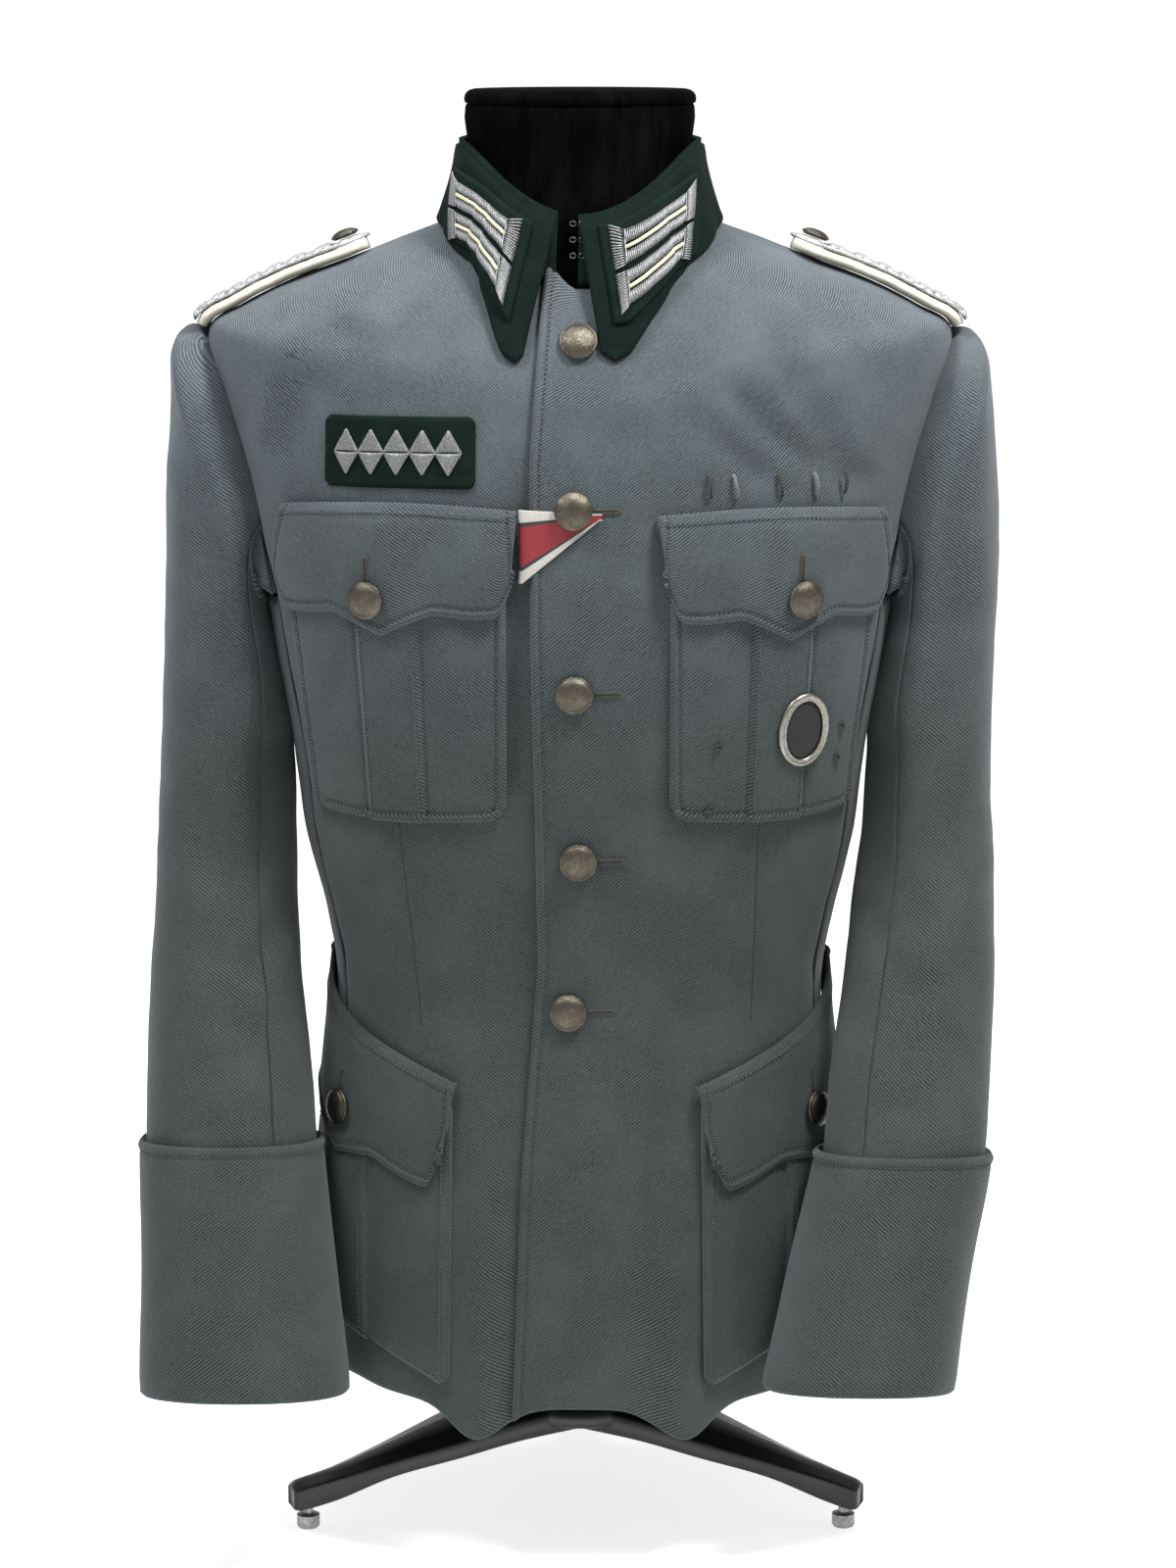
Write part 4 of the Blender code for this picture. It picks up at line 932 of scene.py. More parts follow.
def painted(name, colour, rough, grain=0.10):
    s = Shader(name, colour, rough)
    cast = s.noise(s.room(), 420.0, 4.0, 0.6)
    wear = s.noise(s.room(), 38.0, 3.0, 0.55)
    s.colour(s.mix(s.spread(wear, 0.50, 0.75, 0.0, 0.5), colour, tuple(q * 1.9 + 0.002 for q in colour)))
    s.rough(s.spread(wear, 0.3, 0.7, rough - 0.06, rough + 0.12))
    s.bump(cast, grain, 0.0006)
    return s.material


def plain_metal(name, colour, rough):
    s = Shader(name, colour, rough, 1.0)
    wear = s.noise(s.room(), 500.0, 4.0, 0.6)
    s.colour(s.mix(s.spread(wear, 0.40, 0.70), tuple(q * 0.6 for q in colour), colour))
    s.rough(s.spread(wear, 0.3, 0.7, rough + 0.1, rough - 0.05))
    s.bump(wear, 0.12, 0.0002)
    return s.material


WOOL = wool_cloth("wool_twill", (0.013, 0.0155, 0.0155), (0.074, 0.085, 0.0845))
FELT = felt_cloth("collar_felt", (0.0020, 0.0048, 0.0040), (0.0046, 0.0098, 0.0082), 0.04)
PATCH_FELT = felt_cloth("patch_felt", (0.0022, 0.0056, 0.0042), (0.0052, 0.0118, 0.0084), 0.04)
CREAM = felt_cloth("board_felt", (0.36, 0.34, 0.27), (0.62, 0.59, 0.49), 0.1)
THREAD = thread("sewing_thread", (0.020, 0.024, 0.025), (0.060, 0.068, 0.070))
# Near-black lines for the seam joins and the buttonhole slits: painted shade.
PAINTED_SHADE_LINE = thread("painted_shade_line", (0.003, 0.0035, 0.0035), (0.010, 0.011, 0.011))
HOLE_THREAD = thread("buttonhole_thread", (0.018, 0.018, 0.015), (0.050, 0.048, 0.040))
LOOP_DARK = thread("loop_thread_olive", (0.006, 0.006, 0.004), (0.022, 0.020, 0.014))
LOOP_PALE = thread("loop_thread_grey", (0.060, 0.066, 0.070), (0.135, 0.142, 0.150))
SILVER = thread("silver_cord", (0.15, 0.155, 0.16), (0.50, 0.51, 0.515), 0.42, 0.1, 1500.0, 0.40)
DULL_SILVER = thread("lace_cord", (0.075, 0.077, 0.078), (0.27, 0.275, 0.28), 0.42, 0.1, 1500.0, 0.40)
CREAM_SILK = thread("cream_silk", (0.36, 0.33, 0.19), (0.60, 0.56, 0.38), 0.5, 0.1)
BUTTON_METAL = pebbled_metal("button_metal")
VELVET = dark_velvet("form_velvet")
SATIN = painted("base_paint", (0.0055, 0.0055, 0.006), 0.34)
POLE = painted("pole_paint", (0.010, 0.010, 0.010), 0.30, 0.04)
GLIDE = plain_metal("glide_metal", (0.42, 0.43, 0.44), 0.42)
BRIGHT = plain_metal("pin_metal", (0.33, 0.32, 0.28), 0.34)
HOOK = plain_metal("hook_metal", (0.10, 0.10, 0.10), 0.35)
ENAMEL = painted("pin_enamel", (0.002, 0.002, 0.0025), 0.62, 0.06)

# Folds of the front: across and height of the upper and the lower end, bow, rise, half
# width at both ends.
FRONT_FOLDS = (
    (-0.132, 0.742, -0.172, 0.652, 0.008, -0.0034, 0.008, 0.010),
    (-0.112, 0.742, -0.150, 0.706, 0.004, 0.0016, 0.010, 0.010),
    (-0.150, 0.744, -0.186, 0.660, 0.006, 0.0024, 0.007, 0.008),
    (0.112, 0.724, 0.166, 0.640, 0.007, -0.0024, 0.007, 0.010),
    (0.088, 0.706, 0.146, 0.652, 0.006, -0.0022, 0.005, 0.007),
    (0.102, 0.716, 0.156, 0.650, 0.006, 0.0018, 0.005, 0.006),
    (0.128, 0.728, 0.176, 0.650, 0.006, 0.0020, 0.006, 0.007),
    (0.074, 0.698, 0.128, 0.650, 0.005, 0.0014, 0.005, 0.006),
    (0.064, 0.690, 0.112, 0.648, 0.004, -0.0014, 0.005, 0.007),
    (0.090, 0.730, 0.150, 0.668, 0.004, 0.0010, 0.010, 0.012),
    (0.128, 0.742, 0.184, 0.668, 0.006, 0.0012, 0.010, 0.012),
    (0.066, 0.722, 0.112, 0.650, 0.004, -0.0009, 0.011, 0.012),
    (-0.068, 0.716, -0.098, 0.690, 0.002, -0.0005, 0.016, 0.016),
    (-0.034, 0.640, -0.038, 0.460, 0.003, -0.0024, 0.008, 0.008),
    (-0.047, 0.560, -0.050, 0.430, 0.002, 0.0010, 0.006, 0.008),
    (-0.112, 0.425, -0.140, 0.345, 0.003, -0.0010, 0.010, 0.012),
    (0.118, 0.415, 0.143, 0.340, 0.003, -0.0011, 0.010, 0.012),
    (0.060, 0.430, 0.072, 0.330, 0.004, 0.0007, 0.016, 0.018),
    (-0.062, 0.410, -0.070, 0.300, 0.004, 0.0007, 0.015, 0.018),
    (-0.134, 0.352, -0.096, 0.338, 0.002, -0.0008, 0.007, 0.008),
    (0.136, 0.344, 0.100, 0.326, 0.002, -0.0009, 0.007, 0.008),
    (0.026, 0.300, 0.034, 0.110, 0.006, 0.0016, 0.018, 0.022),
    (-0.004, 0.290, -0.010, 0.100, 0.004, -0.0010, 0.016, 0.022),
    (0.060, 0.290, 0.064, 0.105, 0.004, -0.0014, 0.014, 0.018),
    (-0.062, 0.290, -0.060, 0.110, 0.004, 0.0014, 0.014, 0.020),
)
BACK_FOLDS = (
    (-0.118, 0.725, -0.176, 0.615, -0.008, -0.0026, 0.009, 0.014),
    (0.110, 0.728, 0.172, 0.622, 0.008, -0.0024, 0.009, 0.013),
    (-0.086, 0.700, -0.150, 0.585, -0.006, 0.0016, 0.014, 0.018),
    (0.090, 0.705, 0.146, 0.580, 0.006, 0.0015, 0.014, 0.018),
    (-0.040, 0.640, -0.050, 0.430, 0.004, 0.0012, 0.020, 0.024),
    (0.046, 0.620, 0.040, 0.440, -0.004, 0.0012, 0.020, 0.022),
    (-0.150, 0.380, -0.080, 0.352, 0.004, -0.0014, 0.008, 0.010),
    (0.150, 0.372, 0.088, 0.346, -0.004, -0.0014, 0.008, 0.010),
    (-0.140, 0.350, -0.070, 0.330, 0.003, 0.0010, 0.008, 0.010),
    (0.146, 0.346, 0.066, 0.322, -0.003, 0.0010, 0.008, 0.010),
    (-0.052, 0.320, -0.064, 0.100, 0.006, 0.0024, 0.018, 0.024),
    (0.056, 0.315, 0.070, 0.102, -0.006, 0.0024, 0.018, 0.024),
    (-0.100, 0.290, -0.112, 0.104, 0.004, -0.0020, 0.014, 0.018),
    (0.098, 0.290, 0.110, 0.102, -0.004, -0.0020, 0.014, 0.018),
)
# The same across and up each sleeve, from the wearer's own side outwards.
SLEEVE_FOLDS = {
    -1: {
        "front": (
            (0.228, 0.690, 0.222, 0.600, 0.006, -0.0014, 0.009, 0.012),
            (0.242, 0.660, 0.236, 0.560, 0.004, 0.0012, 0.008, 0.012),
            (0.200, 0.560, 0.212, 0.420, 0.006, 0.0014, 0.012, 0.016),
            (0.186, 0.500, 0.190, 0.390, 0.004, -0.0018, 0.010, 0.012),
            (0.250, 0.470, 0.206, 0.400, 0.006, -0.0013, 0.012, 0.014),
            (0.252, 0.430, 0.212, 0.372, 0.005, 0.0011, 0.011, 0.014),
            (0.172, 0.400, 0.205, 0.352, 0.004, -0.0017, 0.008, 0.012),
            (0.170, 0.372, 0.196, 0.330, 0.003, 0.0012, 0.008, 0.010),
            (0.226, 0.370, 0.222, 0.268, 0.005, 0.0012, 0.014, 0.018),
            (0.196, 0.330, 0.190, 0.262, 0.004, -0.0010, 0.012, 0.014),
        ),
        "back": (
            (0.224, 0.690, 0.214, 0.590, 0.008, -0.0020, 0.010, 0.014),
            (0.240, 0.600, 0.232, 0.440, 0.006, 0.0014, 0.014, 0.018),
            (0.252, 0.440, 0.196, 0.400, 0.005, -0.0022, 0.009, 0.012),
            (0.254, 0.410, 0.190, 0.372, 0.005, 0.0018, 0.009, 0.012),
            (0.256, 0.380, 0.190, 0.346, 0.004, -0.0018, 0.009, 0.012),
            (0.236, 0.340, 0.226, 0.262, 0.004, 0.0012, 0.014, 0.016),
        ),
    },
    1: {
        "front": (
            (0.226, 0.700, 0.222, 0.640, 0.004, -0.0020, 0.008, 0.010),
            (0.236, 0.690, 0.236, 0.560, 0.005, 0.0018, 0.008, 0.014),
            (0.218, 0.640, 0.226, 0.500, 0.006, -0.0016, 0.010, 0.014),
            (0.196, 0.560, 0.206, 0.420, 0.008, 0.0014, 0.012, 0.016),
            (0.184, 0.500, 0.176, 0.390, 0.004, -0.0018, 0.009, 0.012),
            (0.244, 0.460, 0.196, 0.385, 0.006, -0.0018, 0.011, 0.014),
            (0.246, 0.425, 0.200, 0.350, 0.005, 0.0015, 0.011, 0.013),
            (0.168, 0.400, 0.200, 0.340, 0.004, -0.0018, 0.008, 0.011),
            (0.236, 0.380, 0.214, 0.290, 0.005, -0.0010, 0.012, 0.014),
            (0.212, 0.350, 0.196, 0.262, 0.004, 0.0013, 0.013, 0.016),
        ),
        "back": (
            (0.226, 0.690, 0.216, 0.596, 0.008, -0.0020, 0.010, 0.014),
            (0.240, 0.610, 0.230, 0.450, 0.006, 0.0014, 0.014, 0.018),
            (0.246, 0.446, 0.190, 0.404, 0.005, -0.0020, 0.009, 0.012),
            (0.246, 0.412, 0.184, 0.374, 0.005, 0.0018, 0.009, 0.012),
            (0.246, 0.380, 0.184, 0.344, 0.004, -0.0020, 0.009, 0.012),
            (0.230, 0.340, 0.214, 0.262, 0.004, 0.0012, 0.014, 0.016),
        ),
    },
}


def body_lift(p, n):
    """Rise of the body's cloth: its folds, and a soft unevenness."""
    front = smooth(-n[..., 1] * 2.5 + 0.2)
    back = smooth(n[..., 1] * 2.5 + 0.2)
    uneven = 0.0008 * waves(p, 0.055, 3.0) + 0.0004 * waves(p, 0.021, 8.0)
    rise = 1.5 * (front * fold_height(p, FRONT_FOLDS) + back * fold_height(p, BACK_FOLDS)) + uneven
    most = np.where((p[..., 2] < 0.64) & (p[..., 1] < 0.02), 0.0009, 0.0030)
    return np.clip(rise, -0.0034, most)


BODY_T = np.unique(np.concatenate([
    np.linspace(0, NECK, 150), [0.012, 0.03, 0.06, 0.09, NECK - 0.03, NECK - 0.06]]))
# Half the gap between two panels of the body, in degrees.
PANEL_GAP = 0.05


def armhole_fade(u, t, armhole_on):
    """0 at the armhole's seam, on the right or the left of a grid, and 1 away from it."""
    d = u[:, -1:] - u if armhole_on == "right" else u
    return np.where(t > ARMPIT - 0.6, smooth((d - 0.001) / 0.014), 1.0)


def body_piece(name, angles_at, shares, edges, uv_from, lift=None, rows=BODY_T, shape=None,
               armhole_on=""):
    """Panel of the body between two angles at each ring."""
    t = rows[:, None]
    first, last = angles_at(rows)
    theta = first[:, None] + (last - first)[:, None] * shares[None, :]
    grid = body(theta, t)
    n = body_normal(theta, t)
    if lift is not None:
        grid = grid + n * lift(theta, t)[..., None]
    rise = body_lift(grid, n)
    if armhole_on:
        rise = rise * armhole_fade(arcs(grid)[0], t, armhole_on)
    if shape is not None:
        grid = shape(grid, theta, t)
    piece = Piece(grid, n, edges, rise)
    cloth(f"{name}_cloth", piece, WOOL, name, uv_from=uv_from)
    return piece


def seam(t, column):
    """Angle of the front seam, column 1, or of the back seam, column 2, at rings t."""
    return np.where(t >= TIP, SHOULDER_SEAM, lerp(SEAMS, t, column))


def left_front(t):
    edge = lerp(FRONT_EDGE, body(angle_at(-0.03 + 0 * t, t), t)[..., 2])
    return angle_at(edge, t), seam(t, 1) - PANEL_GAP


def right_front(t):
    """The right front starts under the left one, 24 mm past the middle."""
    return -angle_at(-0.024 + 0 * t, t), PANEL_GAP - seam(t, 1)

def neckline(grid, theta, t):
    """Left front's top corner rises to a peak, and dips beside it."""
    x = grid[..., 0]
    share = smooth((t - NECK + 1.5) / 1.5)
    top, under = body(theta, NECK + 0 * t), body(theta, NECK - 0.6 + 0 * t)
    peak = np.exp(-(((x + 0.0175) / 0.0085) ** 2))
    change = 0.0090 * peak - 0.0050 * np.exp(-(((x - 0.0060) / 0.0100) ** 2))
    beside = np.linalg.norm(grid - grid[:, :1], axis=-1)
    rise = 0.0016 * peak * share + 0.0016 * np.exp(-((beside / 0.009) ** 2))
    out = body_normal(theta, t) * rise[..., None]
    return grid + unit(top - under) * (change * share)[..., None] + out


front_shares = lines(0.230, 0.0048, "free", "seam")
LEFT = body_piece("front_left", left_front, front_shares, ("free", "seam", "plain", "plain"),
                  (0.0, 0.0), lap, shape=neckline, armhole_on="right")
RIGHT = body_piece("front_right", right_front, front_shares, ("plain", "seam", "plain", "plain"),
                   (0.5, 0.0), armhole_on="right")
for which, side in SIDE.items():
    body_piece(f"side_{which}",
               lambda t: (side * (seam(t, 1) + PANEL_GAP), side * (seam(t, 2) - PANEL_GAP)),
               lines(0.095, 0.0055, "seam", "seam"), ("seam", "seam", "plain", "seam"),
               (0.9, 0.0), rows=BODY_T[BODY_T <= ARMPIT])
    body_piece(f"back_{which}", lambda t: (side * (seam(t, 2) + PANEL_GAP), side * 179.92 + 0 * t),
               lines(0.205, 0.0055, "seam", "seam"), ("seam", "seam", "plain", "plain"),
               (1.2, 0.0), armhole_on="left")
stitches("front", LEFT.down(STITCH_IN, start=0.002, end=0.004))

def sleeve_lift(side, p, n):
    """Rise of a sleeve's cloth: its folds, and a soft unevenness."""
    view = p * np.array([side, 1, 1])
    front = smooth(-n[..., 1] * 2.0 + 0.35)
    back = smooth(n[..., 1] * 2.0 + 0.35)
    table = SLEEVE_FOLDS[side]
    uneven = 0.0009 * waves(p, 0.05, 5.0 + side) + 0.0004 * waves(p, 0.02, 9.0)
    rise = 1.7 * (front * fold_height(view, table["front"]) + back * fold_height(view, table["back"]))
    return rise + uneven


def sleeve_grain(side, p):
    """Flat place of points on a sleeve: distance round its middle line, height."""
    rings = sleeve(side, (np.arange(24) / 24)[None, :], np.linspace(1.6, 13, 60)[:, None]).mean(axis=1)
    middle = [np.interp(-p[..., 2], -rings[:, 2], rings[:, k]) for k in (0, 1)]
    turn = np.arctan2(p[..., 1] - middle[1], p[..., 0] - middle[0])
    return np.stack([0.055 * turn, -p[..., 2]], -1)


def sleeve_start(side, n, s, z):
    """Fuller sleeve head, and the inner side close against the body under the arm."""
    upright = smooth(np.abs(n[..., 1]) * 1.6 - 0.2)
    head = 0.0034 * upright * smooth(s / 0.22) * (1 - smooth((s - 0.9) / 1.6))
    inward = smooth(-side * n[..., 0] * 2.2 - 0.3)
    beside = 0.0042 * inward * smooth(s / 0.5) * smooth((z - 0.470) / 0.040)
    return head + beside


for which, side in SIDE.items():
    end = float(ring_at(side, CUFF_LOW[side] + SLEEVE_END))
    s = np.unique(np.concatenate([np.linspace(0, 1.6, 22), np.linspace(1.6, end, 110)]))
    fade = smooth(s / 1.2)[:, None] * smooth((12.0 - s) / 1.6)[:, None]
    middle = sleeve(side, (np.arange(12) / 12)[None, :], s[:, None]).mean(axis=1, keepdims=True)
    # The seams between the two parts of a sleeve, in eighteenths of the way round.
    for name, first, last, wide in ((f"under_sleeve_{which}", 5, 13, 0.13),
                                    (f"upper_sleeve_{which}", 13, 23, 0.20)):
        u = (first + (last - first) * lines(wide, 0.0050, "seam", "seam")) / 18
        u = np.clip(u, first / 18 + 0.0005, last / 18 - 0.0005)
        grid = sleeve(side, u[None, :], s[:, None])
        outward = grid - middle
        outward[0] = grid[1] - middle[1]
        n = normals(grid, outward)
        lift = sleeve_lift(side, grid, n) * fade + sleeve_start(side, n, s[:, None], grid[..., 2])
        # One more row at the start, tucked under the body's cloth.
        theta, t = armhole(u)
        under = body(side * theta, t) - body_normal(side * theta, t) * 0.0026
        under = under - np.array([side * 0.0060, 0, 0])
        grid = np.concatenate([under[None], grid])
        outward = np.concatenate([outward[:1], outward])
        lift = np.concatenate([0 * lift[:1], lift])
        lift[1] -= 0.0008
        piece = Piece(grid, outward, ("", "seam", "seam", "plain"), lift)
        cloth(f"{name}_cloth", piece, WOOL, name, uv_from=(2.0 + side, 0.0),
              grain=sleeve_grain(side, piece.p))

CUFF_LINES = np.concatenate([np.linspace(0, 0.06, 7), np.linspace(0.09, 0.91, 22),
                             np.linspace(0.94, 1.0, 7)])
# Outside of a cuff: share of the way up, distance out from the sleeve.
CUFF_OUT = ((0.0, 0.0066), (0.05, 0.0070), (0.34, 0.0062), (0.68, 0.0052), (1.0, 0.0046))
# From its lower edge into the sleeve, back down and up its inside: share of the way up,
# rise from there, distance out.
CUFF_IN = (
    (0.0, -0.0014, 0.0050), (0.0, -0.0016, 0.0034), (0.0, -0.0002, 0.0006), (0.0, 0.0022, -0.0012),
    (0.0, SLEEVE_END - SEAM, -WALL), (0.0, SLEEVE_END - SEAM, 0.0), (0.0, 0.0052, 0.0016),
    (0.0, 0.0072, 0.0042), (0.34, 0, 0.0040), (0.68, 0, 0.0032), (0.97, 0.0, 0.0026),
    (1.0, 0.0, 0.0030),
)


def cuff_ring(side, share, rise, out):
    """Points round a cuff at a share of the way up, and their normals."""
    u = np.arange(72) / 72
    s = ring_at(side, CUFF_LOW[side] + (CUFF_TOP - CUFF_LOW[side]) * share + rise)
    grid = sleeve(side, u, np.full(72, float(s)))
    before = sleeve(side, u - 0.004, s + 0 * u)
    after = sleeve(side, u + 0.004, s + 0 * u)
    down = sleeve(side, u, s + 0.02) - sleeve(side, u, s - 0.02)
    n = unit(np.cross(after - before, down))
    n = n * np.sign((n * (grid - grid.mean(axis=0))).sum())
    return grid + n * out, n


for which, side in SIDE.items():
    rings, depths = [], []
    for share in CUFF_LINES[::-1]:
        p, n = cuff_ring(side, share, 0.0, float(lerp(CUFF_OUT, share)))
        depth = (1 - share) * (CUFF_TOP - CUFF_LOW[side])
        rise = float(edge_form(np.array(depth), "free"))
        sway = 0.0010 * waves(p * np.array([1, 1, 0.5]), 0.045, 21.0 + side) * smooth(share * 3)
        rings.append(p + n * (rise + sway)[..., None])
        depths.append(depth)
    rings = np.array(rings + [cuff_ring(side, *row)[0] for row in CUFF_IN])
    around, down = arcs(rings)
    uv = np.stack(np.broadcast_arrays(around[5:6] + 3.3, -down[:, :1]), -1).reshape(-1, 2)
    finish_piece(ring_solid(f"cuff_{which}_cloth", rings, uv, joined=True), WOOL, f"cuff_{which}")
    ring = rings[int(np.argmin(np.abs(np.array(depths) - STITCH_IN)))]
    path = np.concatenate([ring, ring[:1]])
    stitches(f"cuff_{which}", (path, unit(path - ring.mean(axis=0))))


def pleat(share):
    """Rise of the box pleat across a pocket, with sharp folded edges."""
    half = np.abs(share - 0.5)
    return smooth((0.138 - half) / 0.016)


def pocket_round(share, v, wide, tall, corner):
    """Moves the lower corners of a pocket in, as rounded ones."""
    x, y = np.minimum(share, 1 - share) * wide, v * tall
    near = (x < corner) & (y < corner)
    dx, dy = corner - x, corner - y
    far = np.hypot(dx, dy)
    pull = np.where(near & (far > 0), np.maximum(dx, dy) / np.maximum(far, 1e-9), 1.0)
    x2, y2 = np.where(near, corner - dx * pull, x), np.where(near, corner - dy * pull, y)
    return np.where(share < 0.5, x2 / wide, 1 - x2 / wide), y2 / tall


def with_lines(shares, more):
    """Shares of a grid's width with more lines among them."""
    return np.unique(np.round(np.concatenate([shares, more]), 4))


def sew_round(key, piece, inset, corner):
    """Stitches near the sides and the foot of a pocket or flap."""
    stitches(key, piece.down(inset, start=corner))
    stitches(key, piece.down(inset, from_end=True, start=corner))
    stitches(key, piece.along(inset, start=corner, end=corner))


def sew_pleat(key, piece, shares, at, first_row):
    """Stitches down the folds of a pocket's pleat."""
    rows = np.arange(first_row, piece.p.shape[0])
    for share in at:
        column = float(np.interp(share, shares, np.arange(len(shares))))
        stitches(key, piece.spot(rows, np.full(len(rows), column)))


HOLES, SLIT_SHADES = Heap(), Heap()
HOLE_LONG = 0.0125


def slot_hole(at, normal, along):
    """Worked buttonhole: a dark slit between two rows of close thread; the slit is a painted shade line."""
    along = unit(along - normal * (along @ normal))
    across = np.cross(normal, along)
    count = int(HOLE_LONG / 0.00075)
    for side in (-1, 1):
        for k in range(count):
            c = at + along * (k / (count - 1) * HOLE_LONG) + across * side * 0.0009
            wob = 0.0002 * math.sin(k * 2.4 + side)
            HOLES.add(tube([c - across * side * 0.0007, c + normal * 0.00045,
                            c + across * side * (0.0010 + wob) - normal * 0.0001], 0.00036, 5))
    c = at + along * (HOLE_LONG + 0.0004)
    for k in range(7):
        a = math.pi * (k / 6 - 0.5)
        ray = along * math.cos(a) + across * math.sin(a)
        HOLES.add(tube([c + ray * 0.0002, c + ray * 0.0010 + normal * 0.0004,
                        c + ray * 0.0019 - normal * 0.0001], 0.00036, 5))
    SLIT_SHADES.add(tube([at + along * (k / 6 * HOLE_LONG) + normal * 0.00012 for k in range(7)], 0.00032, 5))


def flap_hole(piece, side, s, z):
    """Upright buttonhole of a flap, at a girth and height."""
    spot, m = piece.near(on_body(side, np.array([s]), np.array([z]), 0.006)[0])
    slot_hole(spot, m, np.array([0, 0, 1.0]))


# Grid lines where a pocket's pleat turns, and down the middle of a flap.
BREAST_PLEAT_LINES = (
    0.338, 0.345, 0.350, 0.355, 0.359, 0.362, 0.368, 0.376, 0.386, 0.400, 0.600, 0.614, 0.624, 0.632,
    0.638, 0.641, 0.645, 0.650, 0.655, 0.662,
)
HIP_PLEAT_LINES = (
    0.36, 0.367, 0.374, 0.382, 0.39, 0.40, 0.60, 0.61, 0.618, 0.626, 0.633, 0.64,
)
FLAP_LINES = (0.46, 0.48, 0.5, 0.52, 0.54)
FINE = np.linspace(0, 1, 241)


def breast_pocket(which, side):
    inner, low, high, foot, top = BREAST[side]
    wide, tall = (low + high) / 2 - inner, top - foot
    shares = with_lines(lines(wide, 0.0040), BREAST_PLEAT_LINES)
    share, v = np.meshgrid(shares, lines(tall, 0.0045, "free", ""))
    a, b = pocket_round(share, v, wide, tall, 0.013)
    outer = low + (high - low) * b
    sag = 0.0025 * np.sin(np.pi * a) * (1 - b)
    grid = on_body(side, inner + (outer - inner) * a, foot + tall * b - sag, POCKET_SEAT + WALL)
    groove = np.exp(-(((np.abs(share - 0.5) - 0.148) / 0.007) ** 2))
    lift = 0.0024 * pleat(share) - 0.0009 * groove + 0.0004 * waves(grid, 0.03, 31.0 + side)
    for at, swell in ((0.22, 0.0010), (0.80, 0.0008)):
        lift += swell * np.exp(-(((share - at) / 0.09) ** 2)) * np.sin(np.pi * v)
    piece = Piece(grid, normals(grid, grid * FLAT), ("free", "free", "free", ""), lift)
    cloth(f"breast_pocket_{which}_cloth", piece, WOOL, f"breast_pocket_{which}", uv_from=(4.0 + side, 0.1))
    key = f"breast_{which}"
    sew_round(key, piece, STITCH_IN, 0.011)
    sew_pleat(key, piece, shares, (0.386, 0.614), 4)


def flap_edge(wide):
    """Drop of a flap's waved lower edge across its width, with rounded corners."""
    edge = lerp(SCALLOP, FINE)
    kernel = np.exp(-np.linspace(-2, 2, 13) ** 2)
    edge = np.convolve(np.pad(edge, 6, mode="edge"), kernel / kernel.sum(), mode="valid")
    from_corner = np.minimum(np.minimum(FINE, 1 - FINE) * wide / 0.011, 1)
    corner = 1 - np.sqrt(np.maximum(0, 1 - (1 - from_corner) ** 2))
    return edge + 0.006 - 0.016 * corner


def flap(name, grid, lift, key, uv_from):
    """Pocket flap with its stitches."""
    piece = Piece(grid, normals(grid, grid * FLAT), ("free", "free", "free", "plain"), lift)
    cloth(f"{name}_cloth", piece, WOOL, name, uv_from=uv_from)
    sew_round(key, piece, STITCH_IN, 0.006)
    stitches(key, piece.along(0.0072, from_end=True))
    return piece


def breast_flap(which, side):
    in_top, in_foot, out_top, out_foot, top = BREAST_FLAP[side]
    wide = out_top - in_top
    share, v = np.meshgrid(with_lines(lines(wide, 0.0032), FLAP_LINES), lines(0.058, 0.0032)[::-1])
    a = in_top + (in_foot - in_top) * v
    b = out_top + (out_foot - out_top) * v
    crown = 0.004 * np.sin(np.pi * share)
    bump = PLEAT_DEEP * smooth((0.24 - np.abs(share - 0.5)) / 0.14)
    over = smooth(v / 0.16) * (0.0036 + bump)
    drop = np.interp(share, FINE, flap_edge(wide))
    grid = on_body(side, a + (b - a) * share, top + crown - drop * v, POCKET_SEAT + over + WALL)
    swell = 0.0012 * np.sin(np.pi * v) * smooth((np.abs(share - 0.5) - 0.1) / 0.3)
    lift = 0.0004 * waves(grid, 0.028, 37.0 + side) + swell
    lift = lift + 0.0012 * smooth((0.0066 - v * 0.058) / 0.0012)
    piece = flap(f"breast_flap_{which}", grid, lift, f"breast_{which}", (6.0 + side, 0.2))
    flap_hole(piece, side, BREAST_BUTTON[side], 0.5915)
    return wide


